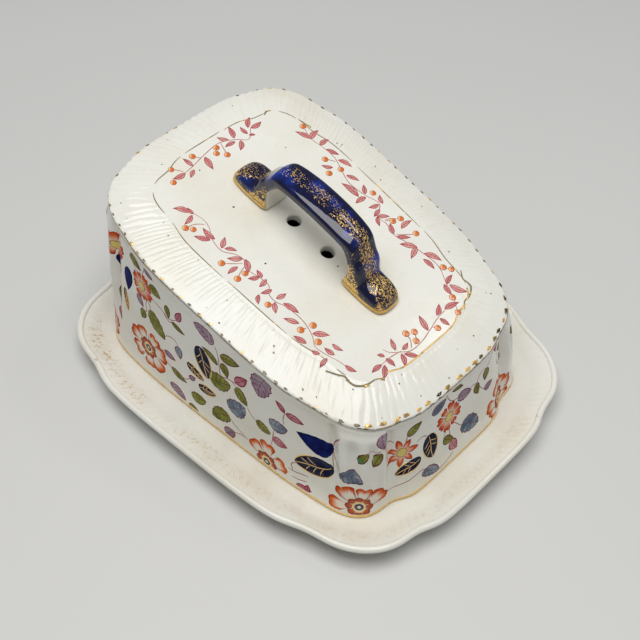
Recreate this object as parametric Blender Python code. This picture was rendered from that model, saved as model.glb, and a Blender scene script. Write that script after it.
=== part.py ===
"""Covered butter and cheese dish: a lobed stand, a wedge-shaped cover and its bridge handle.

Metres, +Z up. The origin is on the table under the middle of the stand. X runs along the dish,
from the tall end of the cover at -X to its low end at +X, and the dish is symmetric across Y.
"""
import math
from collections import namedtuple

import bmesh
import bpy
from mathutils import Matrix, Vector

MM = 0.001
CLEARANCE = 0.3 * MM      # left between pieces that touch
SEGMENTS = 96             # points round each plan outline

# A plan outline is a rounded rectangle (a superellipse) that narrows towards +X. Its corners
# swell into lobes, with a shallow notch beside every lobe on the long sides and on the ends;
# turn moves the lobes and notches towards the long sides.
Plan = namedtuple("Plan", "half_x half_y squareness taper centre_x lobe side_notch end_notch turn")
STAND_RIM = Plan(125 * MM, 103.6 * MM, 3.75, 0.081, 0.0, 0.6 * MM, 2.4 * MM, 2.4 * MM, 0.0)
WELL = Plan(108 * MM, 83.5 * MM, 4.3, 0.083, -1.5 * MM, 0.8 * MM, 0.0, 1.4 * MM, 0.05)
COVER_BASE = Plan(103.6 * MM, 78.5 * MM, 4.5, 0.085, -2.2 * MM, 2.4 * MM, 0.0, 3.0 * MM,
                  math.radians(3.6))
COVER_RIM = Plan(100.6 * MM, 73.2 * MM, 3.75, 0.064, -7.2 * MM, 0.3 * MM, 1.0 * MM, 1.0 * MM,
                 0.0)
PANEL = Plan(81 * MM, 52.1 * MM, 3.9, 0.069, -6.6 * MM, 1.8 * MM, 1.4 * MM, 1.4 * MM, 0.0)
LOBE_ANGLE = math.radians(43)      # measured with the outline squashed to a square
LOBE_SPREAD = math.radians(8)
NOTCH_OFFSET = math.radians(13)    # from the middle of the lobe
NOTCH_SPREAD = math.radians(5.5)

# Stand
FOOT_INSET = 11 * MM               # foot ring, inwards from the well's outline
FOOT_WIDTH = 6 * MM
RECESS_DEPTH = 2.2 * MM            # underside inside the foot ring
FLOOR_HEIGHT = 7 * MM
RIM_HEIGHT = 17 * MM
STAND_THICKNESS = 4.5 * MM
RIM_ROLL = 2.6 * MM                # half the width of the rounded edge
WELL_FILLET = 2.5 * MM             # where the floor turns up into the rim
FLOOR_THICKNESS = 4.6 * MM
# The rim rises from the well in two steps: share of the way out, height above the floor.
RIM_STEPS = ((0.25, 2.6 * MM), (0.6, 6.8 * MM))

# Cover
SLOPE = 0.207                      # fall of the top for each unit of length towards +X
RIM_CENTRE_HEIGHT = 87.2 * MM      # fluted rim's outer edge, above the origin
PANEL_RISE = 5 * MM                # panel above the plane of that edge
COVER_THICKNESS = 4.6 * MM
OVERHANG = 1.4 * MM                # rim beyond the wall below it
RIM_EDGE = 2.2 * MM                # height of the rim's edge
RIM_UNDERCUT = 1.2 * MM            # from the edge down to the top of the wall
BORDER_SHARE = 0.45                # middle of the fluted border, from its edge to the panel
BORDER_RISE = 2.6 * MM             # there
WALL_STEPS = 4
VENT_RADIUS = 3.6 * MM
VENT_SEGMENTS = 24
VENT_CUT_LENGTH = 30 * MM
VENT_X = (-21 * MM, 3.4 * MM)

# Handle, in its own frame: u along the sloping panel, v square to it, width across
HANDLE_CENTRE_X = -7 * MM
# Each row is half of the bridge seen from the side: the outer line's u and v, the inner line's
# u and v, and the half width there, from the tip of the toe to the middle of the grip.
HANDLE_HALF = [
    (55.2, 2.2, 54.4, 0.0, 4.8),
    (54.2, 5.4, 52.2, 0.0, 7.6),
    (51.2, 8.2, 47.2, 0.0, 8.9),
    (47.0, 9.7, 41.2, 0.0, 9.3),
    (42.8, 10.3, 35.6, 0.0, 9.2),
    (39.8, 11.3, 30.4, 0.0, 8.7),
    (38.0, 13.4, 27.4, 1.4, 8.3),
    (36.8, 15.9, 28.6, 6.4, 8.1),
    (34.9, 19.3, 28.9, 11.0, 8.0),
    (30.9, 24.8, 26.7, 16.8, 8.0),
    (27.4, 29.5, 23.2, 22.0, 8.0),
    (18.0, 31.9, 17.0, 24.7, 8.5),
    (7.0, 33.2, 6.8, 25.4, 8.9),
]
HANDLE_MIDDLE = (0.0, 33.4, 0.0, 25.6, 9.0)
SECTION_POINTS = 16
GRIP_SQUARENESS = 4.0              # of the rounded slab section
TOE_SQUARENESS = 2.4               # rounder over the toes
PAD_SQUARENESS = 8                 # crisp where the feet meet the panel


def corner_swell(plan, angle):
    """Outward swell of a plan outline: a lobe at each corner between two notches."""
    quarter = math.atan2(abs(math.sin(angle)), abs(math.cos(angle))) - plan.turn
    swell = plan.lobe * math.exp(-((quarter - LOBE_ANGLE) / LOBE_SPREAD) ** 2)
    for depth, offset in ((plan.side_notch, NOTCH_OFFSET), (plan.end_notch, -NOTCH_OFFSET)):
        swell -= depth * math.exp(-((quarter - LOBE_ANGLE - offset) / NOTCH_SPREAD) ** 2)
    return swell


def plan_point(plan, angle, inset=0.0):
    """Point of a plan outline, pulled inwards by inset."""
    cosine, sine = math.cos(angle), math.sin(angle)
    power = plan.squareness
    reach = (abs(cosine) ** power + abs(sine) ** power) ** (-1 / power)
    swell = corner_swell(plan, angle) - inset
    x = (plan.half_x + swell) * reach * cosine
    narrowing = 1 - plan.taper * reach * cosine
    y = (plan.half_y + swell) * reach * sine * narrowing
    return plan.centre_x + x, y


def mix(first, second, share):
    """Plan outline part of the way from one plan to another."""
    return Plan(*(a + (b - a) * share for a, b in zip(first, second)))


def ring(plan, height, inset=0.0):
    """Closed ring of points on a plan outline; height is a number or a function of x."""
    points = []
    for step in range(SEGMENTS):
        x, y = plan_point(plan, 2 * math.pi * step / SEGMENTS, inset)
        z = height(x) if callable(height) else height
        points.append(Vector((x, y, z)))
    return points


def sloping(drop):
    """Height function of a plane parallel to the cover's top, drop below the rim's plane."""
    return lambda x: RIM_CENTRE_HEIGHT - SLOPE * x - drop


def make_material(name, colour, roughness):
    """Glossy glaze colour for one piece."""
    material = bpy.data.materials.new(name)
    material.use_nodes = True
    shader = material.node_tree.nodes["Principled BSDF"]
    shader.inputs["Base Color"].default_value = (*colour, 1)
    shader.inputs["Roughness"].default_value = roughness
    shader.inputs["Metallic"].default_value = 0.0
    return material


def finish_object(name, mesh_builder, material, smooth_angle=35):
    """Turn a bmesh into a named, shaded object."""
    bmesh.ops.recalc_face_normals(mesh_builder, faces=mesh_builder.faces)
    mesh = bpy.data.meshes.new(name)
    mesh_builder.to_mesh(mesh)
    mesh_builder.free()
    mesh.materials.append(material)
    mesh.shade_smooth()
    mesh.set_sharp_from_angle(angle=math.radians(smooth_angle))
    piece = bpy.data.objects.new(name, mesh)
    bpy.context.collection.objects.link(piece)
    return piece


def loft(rings):
    """Closed body through a list of rings, with a flat face over the first and the last."""
    builder = bmesh.new()
    loops = [[builder.verts.new(point) for point in points] for points in rings]
    count = len(loops[0])
    for lower, upper in zip(loops, loops[1:]):
        for index in range(count):
            following = (index + 1) % count
            builder.faces.new((lower[index], lower[following], upper[following], upper[index]))
    builder.faces.new(loops[0])
    builder.faces.new(loops[-1])
    return builder


def build_stand():
    """Under-dish: flat well, rising lobed rim and a foot ring."""
    floor_underside = FLOOR_HEIGHT - FLOOR_THICKNESS
    outer_share, outer_rise = RIM_STEPS[-1]
    foot = FOOT_INSET
    inner_foot = FOOT_INSET + FOOT_WIDTH
    rings = [ring(WELL, FLOOR_HEIGHT, WELL_FILLET + 0.5 * MM),
             ring(WELL, FLOOR_HEIGHT + WELL_FILLET / 4, WELL_FILLET / 5)]
    rings += [ring(mix(WELL, STAND_RIM, share), FLOOR_HEIGHT + rise) for share, rise in RIM_STEPS]
    rings += [
        ring(STAND_RIM, RIM_HEIGHT - 0.2 * MM, RIM_ROLL),
        ring(STAND_RIM, RIM_HEIGHT, RIM_ROLL * 0.6),
        ring(STAND_RIM, RIM_HEIGHT - 0.8 * MM, RIM_ROLL * 0.12),
        ring(STAND_RIM, RIM_HEIGHT - 2.2 * MM, RIM_ROLL * 0.06),
        ring(STAND_RIM, RIM_HEIGHT - 3.6 * MM, RIM_ROLL * 0.7),
        ring(mix(WELL, STAND_RIM, outer_share), FLOOR_HEIGHT + outer_rise - STAND_THICKNESS),
        ring(WELL, floor_underside + 0.8 * MM, -1 * MM),
        ring(WELL, floor_underside, foot - 3 * MM),
        ring(WELL, 0.0, foot),
        ring(WELL, 0.0, inner_foot),
        ring(WELL, RECESS_DEPTH, inner_foot + 2 * MM),
    ]
    glaze = make_material("stand_glaze", (0.80, 0.78, 0.70), 0.18)
    return finish_object("stand", loft(rings), glaze)


def wall_rings(inset, top_drop, steps):
    """Rings of the cover's leaning wall, from its foot to top_drop below the rim's plane."""
    foot_height = FLOOR_HEIGHT + CLEARANCE
    wall_top = sloping(top_drop)
    rings = []
    for step in range(steps + 1):
        share = step / steps
        plan = mix(COVER_BASE, COVER_RIM, share)
        rise = lambda x, share=share: foot_height + (wall_top(x) - foot_height) * share
        rings.append(ring(plan, rise, inset + OVERHANG * share))
    return rings


def build_vent(number, x):
    """Cutter for one vent hole, square to the sloping panel."""
    builder = bmesh.new()
    bmesh.ops.create_cone(builder, cap_ends=True, segments=VENT_SEGMENTS, radius1=VENT_RADIUS,
                          radius2=VENT_RADIUS, depth=VENT_CUT_LENGTH)
    material = make_material("vent_guide", (0.1, 0.1, 0.1), 0.5)
    cutter = finish_object(f"vent_cutter_{number}", builder, material)
    cutter.location = (x, 0, sloping(-PANEL_RISE)(x))
    cutter.rotation_euler = (0, math.atan(SLOPE), 0)
    cutter.hide_render = True
    cutter.display_type = "WIRE"
    return cutter


def build_cover():
    """Hollow wedge, open below, with an overhanging fluted border and two vent holes."""
    inner = wall_rings(COVER_THICKNESS, COVER_THICKNESS + RIM_EDGE, WALL_STEPS)
    outer = wall_rings(0.0, RIM_EDGE + RIM_UNDERCUT, WALL_STEPS)
    ceiling = ring(PANEL, sloping(COVER_THICKNESS - PANEL_RISE))
    border = [
        ring(COVER_RIM, sloping(RIM_EDGE), 0.3 * MM),
        ring(COVER_RIM, sloping(RIM_EDGE * 0.5)),
        ring(COVER_RIM, sloping(0.2 * MM), 0.5 * MM),
        ring(mix(COVER_RIM, PANEL, BORDER_SHARE), sloping(-BORDER_RISE)),
        ring(PANEL, sloping(-PANEL_RISE)),
    ]
    rings = [ceiling] + inner[::-1] + outer + border
    glaze = make_material("cover_glaze", (0.82, 0.80, 0.72), 0.16)
    cover = finish_object("cover", loft(rings), glaze)
    for number, x in enumerate(VENT_X, start=1):
        cut = cover.modifiers.new(f"vent_{number}", "BOOLEAN")
        cut.operation = "DIFFERENCE"
        cut.solver = "EXACT"
        cut.object = build_vent(number, x)
    return cover


def section(outer_u, outer_v, inner_u, inner_v, half_width):
    """Rounded slab section of the handle between its outer and inner line."""
    outer = Vector((outer_u, 0, outer_v)) * MM
    inner = Vector((inner_u, 0, inner_v)) * MM
    middle = (outer + inner) / 2
    reach = (outer - inner) / 2
    across = Vector((0, half_width * MM, 0))
    on_panel = inner_v == 0
    points = []
    for step in range(SECTION_POINTS):
        angle = 2 * math.pi * (step + 0.5) / SECTION_POINTS
        cosine, sine = math.cos(angle), math.sin(angle)
        power = GRIP_SQUARENESS
        if on_panel:
            power = TOE_SQUARENESS if sine > 0 else PAD_SQUARENESS
        swell = (abs(cosine) ** power + abs(sine) ** power) ** (-1 / power)
        depth = swell * sine
        if on_panel and sine < -abs(cosine):
            depth = -1
        points.append(middle + across * (swell * cosine) + reach * depth)
    return points


def build_handle():
    """Bridge handle: two shoe-shaped feet, steep legs and a nearly straight grip."""
    near = HANDLE_HALF
    far = [(-row[0], row[1], -row[2], row[3], row[4]) for row in reversed(near)]
    rings = [section(*row) for row in near + [HANDLE_MIDDLE] + far]
    builder = loft(rings)
    base = sloping(-PANEL_RISE - CLEARANCE)(HANDLE_CENTRE_X)
    place = Matrix.Translation((HANDLE_CENTRE_X, 0, base))
    tilt = Matrix.Rotation(math.atan(SLOPE), 4, "Y")
    bmesh.ops.transform(builder, matrix=place @ tilt, verts=builder.verts)
    cobalt = make_material("handle_cobalt", (0.02, 0.035, 0.25), 0.15)
    return finish_object("handle", builder, cobalt, smooth_angle=50)


def main():
    for old in list(bpy.data.objects):
        bpy.data.objects.remove(old, do_unlink=True)
    build_stand()
    build_cover()
    build_handle()


main()
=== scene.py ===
import math
from collections import defaultdict, namedtuple

import bmesh
import bpy
import numpy as np
from mathutils import Matrix, Vector


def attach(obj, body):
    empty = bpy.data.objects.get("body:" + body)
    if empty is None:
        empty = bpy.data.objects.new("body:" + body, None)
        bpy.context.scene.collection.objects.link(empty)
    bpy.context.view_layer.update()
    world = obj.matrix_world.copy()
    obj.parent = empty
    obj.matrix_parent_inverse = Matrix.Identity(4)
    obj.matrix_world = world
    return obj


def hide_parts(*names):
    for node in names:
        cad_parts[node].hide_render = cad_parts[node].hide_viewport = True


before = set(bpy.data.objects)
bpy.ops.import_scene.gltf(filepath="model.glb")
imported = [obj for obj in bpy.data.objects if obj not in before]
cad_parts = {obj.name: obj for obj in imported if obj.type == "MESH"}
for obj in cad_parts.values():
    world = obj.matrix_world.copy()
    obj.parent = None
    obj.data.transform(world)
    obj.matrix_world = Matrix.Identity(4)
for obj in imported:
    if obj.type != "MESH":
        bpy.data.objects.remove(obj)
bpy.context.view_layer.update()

# Lengths are in millimetres until a mesh is made. +X runs towards the low end of the cover.
MM = 0.001

# ---------------------------------------------------------------- shape of the dish

Plan = namedtuple("Plan", "half_x half_y squareness taper centre_x lobe side_notch end_notch turn")
STAND_RIM = Plan(125, 103.6, 3.75, 0.081, 0.0, 0.6, 2.4, 2.4, 0.0)
WELL = Plan(108, 83.5, 4.3, 0.083, -1.5, 0.8, 0.0, 1.4, 0.05)
COVER_BASE = Plan(103.6, 78.5, 4.5, 0.085, -2.2, 2.4, 0.0, 3.0, math.radians(3.6))
COVER_RIM = Plan(100.6, 73.2, 3.75, 0.064, -7.2, 0.3, 1.0, 1.0, 0.0)
PANEL = Plan(81, 52.1, 3.9, 0.069, -6.6, 1.8, 1.4, 1.4, 0.0)
CHART = COVER_BASE._replace(half_x=103.1, lobe=0.0, side_notch=0.0, end_notch=0.0)
LOBE_ANGLE, LOBE_SPREAD = math.radians(43), math.radians(8)
NOTCH_OFFSET, NOTCH_SPREAD = math.radians(13), math.radians(5.5)

FLOOR_HEIGHT, RIM_HEIGHT, STAND_THICKNESS = 7.0, 17.0, 4.5
FOOT_INSET, FOOT_WIDTH, RECESS_DEPTH = 11.0, 6.0, 2.2
STAND_COLUMNS = 960
COVER_FOOT = 7.3
SLOPE = 0.207
TILT = math.atan(SLOPE)
RIM_CENTRE_HEIGHT, PANEL_RISE, COVER_THICKNESS = 87.2, 5.0, 4.6
OVERHANG, RIM_FLARE, RIM_EDGE, WALL_DROP = 1.4, 1.1, 2.2, 3.4
BORDER_SHARE, BORDER_RISE = 0.45, 2.6
VENT_RADIUS, VENT_X, VENT_TURNS = 3.6, (-21.0, 3.4), 56
RIBS, SAMPLES_PER_RIB = 168, 6
NARROW_RIB, WIDE_RIB, RIB_HEIGHT = 2.7, 4.4, 0.50


def swell(plan, angle):
    """Outward swell of a plan outline at its corners."""
    quarter = np.arctan2(np.abs(np.sin(angle)), np.abs(np.cos(angle))) - plan.turn
    grow = plan.lobe * bump(quarter, LOBE_ANGLE, LOBE_SPREAD)
    for depth, offset in ((plan.side_notch, NOTCH_OFFSET), (plan.end_notch, -NOTCH_OFFSET)):
        grow = grow - depth * bump(quarter, LOBE_ANGLE + offset, NOTCH_SPREAD)
    return grow


def outline(plan, angle, inset=0.0):
    """Points of a plan outline, pulled inwards by inset."""
    cosine, sine = np.cos(angle), np.sin(angle)
    power = plan.squareness
    reach = (np.abs(cosine) ** power + np.abs(sine) ** power) ** (-1 / power)
    grow = swell(plan, angle) - inset
    x = (plan.half_x + grow) * reach * cosine
    y = (plan.half_y + grow) * reach * sine * (1 - plan.taper * reach * cosine)
    return plan.centre_x + x, y


def mix(first, second, share):
    """The plan that is share of the way from the first to the second."""
    return Plan(*(a + (b - a) * share for a, b in zip(first, second)))


def top_plane(x, drop):
    """Height of the cover's sloping top, or of a plane under it by drop."""
    return RIM_CENTRE_HEIGHT - SLOPE * x - drop


def smooth(low, high, value):
    t = np.clip((np.asarray(value, float) - low) / (high - low), 0, 1)
    return t * t * (3 - 2 * t)


def bump(value, centre, width):
    return np.exp(-((np.asarray(value, float) - centre) / width) ** 2)


def distances(x, y):
    """Distance along a line through points, from 0 at its first point."""
    return np.concatenate([[0], np.cumsum(np.hypot(np.diff(x), np.diff(y)))])


# Distance along the wall's foot, from the low corner on the -Y side: negative along the long
# side towards the tall end, positive along the low end.
chart_angles = np.radians(np.linspace(-225, 45, 5401))
chart_length = distances(*outline(CHART, chart_angles))
chart_length -= np.interp(np.radians(-45), chart_angles, chart_length)
TALL_CORNER, TALL_MIDDLE, LOW_MIDDLE = np.interp(np.radians([-135, -180, 0]), chart_angles, chart_length)


def corner_distance(angle):
    """Signed distance from the nearest corner, positive on the end walls."""
    folded = -np.abs(np.arctan2(np.sin(angle), np.cos(angle)))
    distance = np.interp(folded, chart_angles, chart_length)
    return np.where(folded > -np.pi / 2, distance, TALL_CORNER - distance)


def column(angle, share):
    """Outward relief of the fluted column at each corner of the cover; it fades downwards."""
    d = corner_distance(angle)
    body = 2.3 * (smooth(-9.8, -6.6, d) - smooth(15.2, 18.4, d))
    creases = 1.5 * bump(d, -10.9, 2.0) + 1.4 * bump(d, 19.8, 2.2)
    flutes = 2.6 * bump(d, -0.5, 2.9) + 2.2 * bump(d, 9.6, 2.3)
    shoulder = 1 - 0.85 * smooth(0.90, 1.0, share)
    fluted = smooth(0.22, 0.7, share) * (1 - smooth(0.76, 0.93, share))
    return (body - creases) * smooth(0.12, 0.65, share) * shoulder - flutes * fluted


def wall_point(angle, share, inset=0.0):
    """The cover's outer wall, share of the way up from its foot."""
    plan = mix(COVER_BASE, COVER_RIM, share)
    flare = RIM_FLARE * smooth(0.9, 1.0, share) ** 2
    x, y = outline(plan, angle, inset + OVERHANG * share - flare - column(angle, share))
    z = COVER_FOOT + (top_plane(x, WALL_DROP) - COVER_FOOT) * share
    return np.stack([x, y, z], -1)


def border_point(angle, share):
    """The fluted border, share of the way from the rim's edge to the panel."""
    x, y = outline(mix(COVER_RIM, PANEL, share), angle, 0.5 * (1 - share))
    lower = share * BORDER_RISE / BORDER_SHARE
    upper = BORDER_RISE + (share - BORDER_SHARE) / (1 - BORDER_SHARE) * (PANEL_RISE - BORDER_RISE)
    rise = np.where(share < BORDER_SHARE, lower, upper)
    rise = rise + 0.25 * np.sin(np.pi * share) - 0.22 * bump(share, 0.955, 0.018)
    z = top_plane(x, 0.2 * (1 - share)) + rise
    return np.stack([x, y, z + rib_relief(angle, share)], -1)


def rim_point(angle, turn):
    """The rounded edge of the cover's rim; turn goes from 0 underneath to 1 on top."""
    swing = np.pi * (turn - 0.5)
    half = RIM_EDGE / 2
    inset = 0.55 * (1 - np.cos(swing)) + 0.1 * np.maximum(0, -np.sin(swing))
    tall_end = smooth(0.5, 0.85, -np.cos(angle))
    phase = rib_phase(angle)
    uneven = 0.6 + 0.4 * np.sin(0.7 * phase)
    scallop = (0.05 + 0.12 * tall_end) * uneven * np.cos(2 * np.pi * phase)
    x, y = outline(COVER_RIM, angle, inset + 0.22 + scallop)
    z = top_plane(x, half + 0.1) + (half - 0.05) * np.sin(swing)
    z = z + rib_relief(angle, 0.0) * smooth(0.5, 1.0, turn)
    return np.stack([x, y, z], -1)


def long_side(angle):
    """1 along the straight of the long sides, falling to 0 round the corners and on the ends."""
    x = outline(COVER_RIM, angle)[0]
    return 1 - smooth(58, 84, np.abs(x - COVER_RIM.centre_x))


def stepped_angles(plan, count, pitch=lambda angle: 1.0):
    """Angles that step along an outline from the middle of the low end, further where pitch is large."""
    dense = np.linspace(0, 2 * np.pi, 7201)
    x, y = outline(plan, dense)
    pace = np.hypot(np.diff(x), np.diff(y)) / pitch((dense[1:] + dense[:-1]) / 2)
    length = np.concatenate([[0], np.cumsum(pace)])
    return np.interp(np.arange(count) / count * length[-1], length, dense)


# The ribs are narrow on the long sides and wide elsewhere.
RIM_ANGLES = stepped_angles(mix(COVER_RIM, PANEL, 0.5), RIBS * SAMPLES_PER_RIB,
                            lambda angle: WIDE_RIB - (WIDE_RIB - NARROW_RIB) * long_side(angle))
rim_dense = np.append(RIM_ANGLES, 2 * np.pi)
rim_length = distances(*outline(COVER_RIM, rim_dense))


def rib_phase(angle):
    return np.interp(np.mod(angle, 2 * np.pi), rim_dense, np.arange(len(rim_dense)) / SAMPLES_PER_RIB)


def rib_relief(angle, share):
    """Height of the radial ribs, uneven from rib to rib; on the long sides they stop short of the edge."""
    phase = rib_phase(angle)
    phase = phase + 0.24 * np.sin(phase * 0.71) + 0.14 * np.sin(phase * 1.9 + 5 * share)
    number = np.floor(phase)
    uneven = 0.70 + 0.34 * np.sin(number * 2.4) * np.cos(number * 0.73 + 1)
    uneven = uneven * (0.80 + 0.35 * np.sin(8 * share + number * 2.1))
    profile = np.abs(np.sin(np.pi * phase)) ** 0.8 - 0.6
    fade = 0.02 + (0.20 + 0.07 * np.sin(number * 1.7)) * long_side(angle)
    window = 0.12 + 0.88 * smooth(fade - 0.14, fade + 0.14, share)
    window = window * (1 - smooth(0.93, 0.995 - 0.03 * np.sin(number * 3.1) ** 2, share))
    return RIB_HEIGHT * profile * window * uneven


# ---------------------------------------------------------------- surfaces that are painted on

class Surface:
    """A surface with coordinates a and b; sample gives its points and outward normals."""

    step_a, step_b, side = 0.2, 0.01, 1

    def sample(self, a, b):
        a, b = np.broadcast_arrays(np.asarray(a, float), np.asarray(b, float))
        ahead = self.point(a + self.step_a, b) - self.point(a - self.step_a, b)
        upward = self.point(a, b + self.step_b) - self.point(a, b - self.step_b)
        normal = np.cross(ahead, upward) * self.side
        return self.point(a, b), normal / np.linalg.norm(normal, axis=-1, keepdims=True)


class Wall(Surface):
    """The cover's wall: distance along its foot, and height. Mirrored, it is the far long side."""

    step_a, step_b = 0.25, 0.25

    def __init__(self, mirrored):
        self.side = -1 if mirrored else 1

    def point(self, a, b):
        angle = np.interp(a, chart_length, chart_angles)
        share = np.full(np.shape(angle), 0.5)
        # the share at which the leaning wall reaches this height, found step by step
        for _ in range(7):
            x = wall_point(angle, share)[..., 0]
            share = (b - COVER_FOOT) / (top_plane(x, WALL_DROP) - COVER_FOOT)
        return wall_point(angle, share) * np.array([1.0, self.side, 1.0])


class Panel(Surface):
    """The sloping panel: x and y."""

    def sample(self, a, b):
        a, b = np.broadcast_arrays(np.asarray(a, float), np.asarray(b, float))
        point = np.stack([a, b, top_plane(a, -PANEL_RISE)], -1)
        return point, np.broadcast_to([math.sin(TILT), 0.0, math.cos(TILT)], point.shape)


class Border(Surface):
    """The fluted border: distance along the rim, and share of the way inwards."""

    def point(self, a, b):
        return border_point(np.interp(np.mod(a, rim_length[-1]), rim_length, rim_dense), b)


class Rim(Surface):
    """The rounded edge of the cover: distance along it, and turn from below to above."""

    def point(self, a, b):
        return rim_point(np.interp(np.mod(a, rim_length[-1]), rim_length, rim_dense), b)


# ---------------------------------------------------------------- meshes

def make_object(name, vertices, faces, material, attributes):
    """One mesh object from millimetre vertices, with outward faces and values per vertex."""
    mesh = bpy.data.meshes.new(name)
    mesh.from_pydata((np.asarray(vertices, float) * MM).tolist(), [], faces)
    mesh.validate()
    for label, values in attributes.items():
        values = np.concatenate(values).astype(np.float32)
        kind, field = ("FLOAT", "value") if values.ndim == 1 else ("FLOAT_VECTOR", "vector")
        mesh.attributes.new(label, kind, "POINT").data.foreach_set(field, values.ravel())
    mesh.materials.append(material)
    mesh.shade_smooth()
    piece = bpy.data.objects.new(name, mesh)
    bpy.context.scene.collection.objects.link(piece)
    return piece


def loft_faces(rings, count, closed_ends=True):
    """Quads between successive rings of count points, with a face over each end."""
    faces = []
    for base in range(0, (rings - 1) * count, count):
        for index in range(count):
            ahead = (index + 1) % count
            faces.append((base + index, base + ahead, base + count + ahead, base + count + index))
    if closed_ends:
        last = (rings - 1) * count
        faces += [tuple(reversed(range(count))), tuple(range(last, last + count))]
    return faces


def heading(base, tip):
    """Base, direction, direction across and length of the way from base to tip."""
    base = np.asarray(base, float)
    along = np.asarray(tip, float) - base
    length = float(np.hypot(*along))
    along /= length
    return base, along, np.array([-along[1], along[0]]), length


class Coat:
    """Collects thin closed patches of enamel or gilding that lie on a surface."""

    SINK = 0.14

    def __init__(self):
        self.vertices, self.faces, self.paint = [], [], []
        self.count = 0

    def close(self, point, normal, height, paint, faces, edge, flip):
        """A closed piece: faces over the lifted points, the same ones below, and sides along edge."""
        size = len(point)
        solid = list(faces)
        solid += [tuple(size + corner for corner in reversed(face)) for face in faces]
        solid += [(there, here, here + size, there + size) for here, there in zip(edge, edge[1:] + edge[:1])]
        order = -1 if flip else 1
        self.faces += [tuple(self.count + corner for corner in face[::order]) for face in solid]
        self.vertices += [point + normal * height[:, None], point - normal * self.SINK]
        self.paint += [paint, paint]
        self.count += 2 * size

    def patch(self, surface, a, b, height, u, v, extra):
        """A grid patch at coordinates a and b, height above the surface, painted with u, v and extra."""
        point, normal = surface.sample(a, b)
        rows, columns = point.shape[:2]
        middle = rows // 2
        flip = np.dot(np.cross(point[middle, 0] - point[middle - 1, 0],
                               point[middle, -1] - point[middle, 0]), normal[middle, 0]) < 0
        index = np.arange(rows * columns).reshape(rows, columns)
        corners = np.stack([index[:-1, :-1], index[1:, :-1], index[1:, 1:], index[:-1, 1:]], -1)
        edge = np.concatenate([index[:, 0], index[-1, 1:], index[-2::-1, -1], index[0, -2:0:-1]])
        paint = np.stack(np.broadcast_arrays(u[:, None], v[None, :], extra), -1)
        self.close(point.reshape(-1, 3), normal.reshape(-1, 3), height.ravel(), paint.reshape(-1, 3),
                   [tuple(face) for face in corners.reshape(-1, 4).tolist()], edge.tolist(), flip)

    def disc(self, surface, centre, radius, lift, seed, spokes, rings, wobble=0.0, stretch=(1.0, 1.0)):
        """A round domed patch, wider along a or b where it is stretched."""
        rng = np.random.default_rng(int(seed * 997) + 5)
        angle = np.linspace(0, 2 * np.pi, spokes, endpoint=False)
        edge = radius * (1 + wobble * rng.uniform(-1, 1, spokes))
        share = np.repeat(np.arange(1, rings + 1) / rings, spokes)
        reach, turn = np.tile(edge, rings) * share, np.tile(angle, rings)
        a = np.append(centre[0], centre[0] + reach * np.cos(turn) * stretch[0])
        b = np.append(centre[1], centre[1] + reach * np.sin(turn) * stretch[1])
        share, turn = np.append(0.0, share), np.append(0.0, turn)
        point, normal = surface.sample(a, b)
        faces = []
        for spoke in range(spokes):
            ahead = (spoke + 1) % spokes
            faces.append((0, 1 + spoke, 1 + ahead))
            for low in range(1, 1 + (rings - 1) * spokes, spokes):
                faces.append((low + spoke, low + spokes + spoke, low + spokes + ahead, low + ahead))
        flip = np.dot(np.cross(point[1] - point[0], point[2] - point[0]), normal[0]) < 0
        rim = list(range(len(a) - spokes, len(a)))
        paint = np.stack(np.broadcast_arrays(share, turn / (2 * np.pi), seed), -1)
        self.close(point, normal, lift * (1 - 0.5 * share ** 2), paint, faces, rim, flip)

    def leaf(self, surface, base, tip, width, seed, heel, point, ragged=0.0, bend=0.0, lift=0.11,
             low_limit=None):
        """A leaf from its base to its tip; heel and point say how sharply each end narrows."""
        base, along, across, length = heading(base, tip)
        rows = int(np.clip(length / 0.75, 9, 22))
        columns = int(np.clip(width / 0.9, 4, 12)) * 2 + 1
        u = (1 - np.cos(np.linspace(0, np.pi, rows))) / 2
        u = 0.5 * u + 0.5 * np.linspace(0, 1, rows)
        v = np.linspace(-1, 1, columns)
        profile = u ** heel * (1 - u) ** point
        profile /= profile.max()
        left = right = profile
        if ragged:
            phase = np.random.default_rng(int(seed * 1000) + 11).uniform(0, 1)
            left, right = (profile * (1 - ragged * 2 * np.abs(np.mod(u * teeth + phase + shift, 1) - 0.5))
                           for teeth, shift in ((5, 0.0), (4.3, 0.4)))
        half = np.where(v[None, :] < 0, left[:, None], right[:, None]) * width / 2
        half = np.maximum(half, 0.09)
        sway = bend * length * 4 * u * (1 - u)
        offset = half * v[None, :] + sway[:, None]
        a = base[0] + along[0] * length * u[:, None] + across[0] * offset
        b = base[1] + along[1] * length * u[:, None] + across[1] * offset
        if low_limit is not None:
            b = np.maximum(b, low_limit + 0.02 * (b - b.min()))
        height = lift * (0.3 + 0.7 * (1 - v[None, :] ** 2)) * (0.35 + 0.65 * np.sqrt(profile))[:, None]
        self.patch(surface, a, b, height, u, v, half)

    def ribbon(self, surface, points, width, lift, seed, closed=False, taper=0.0):
        """A drawn line through points on a surface."""
        curve = smooth_curve(np.asarray(points, float), closed)
        step = np.gradient(curve, axis=0)
        if closed:
            step[0] = step[-1] = curve[1] - curve[-2]
        step /= np.maximum(np.linalg.norm(step, axis=1, keepdims=True), 1e-9)
        u = np.linspace(0, 1, len(curve))
        v = np.array([-1.0, -0.4, 0.4, 1.0])
        half = width / 2 * (1 - taper * np.abs(2 * u - 1) ** 3)
        a = curve[:, 0, None] - step[:, 1, None] * half[:, None] * v
        b = curve[:, 1, None] + step[:, 0, None] * half[:, None] * v
        height = np.broadcast_to(lift * np.array([0.3, 1.0, 1.0, 0.3]), a.shape)
        self.patch(surface, a, b, height, u, v, seed)

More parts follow.
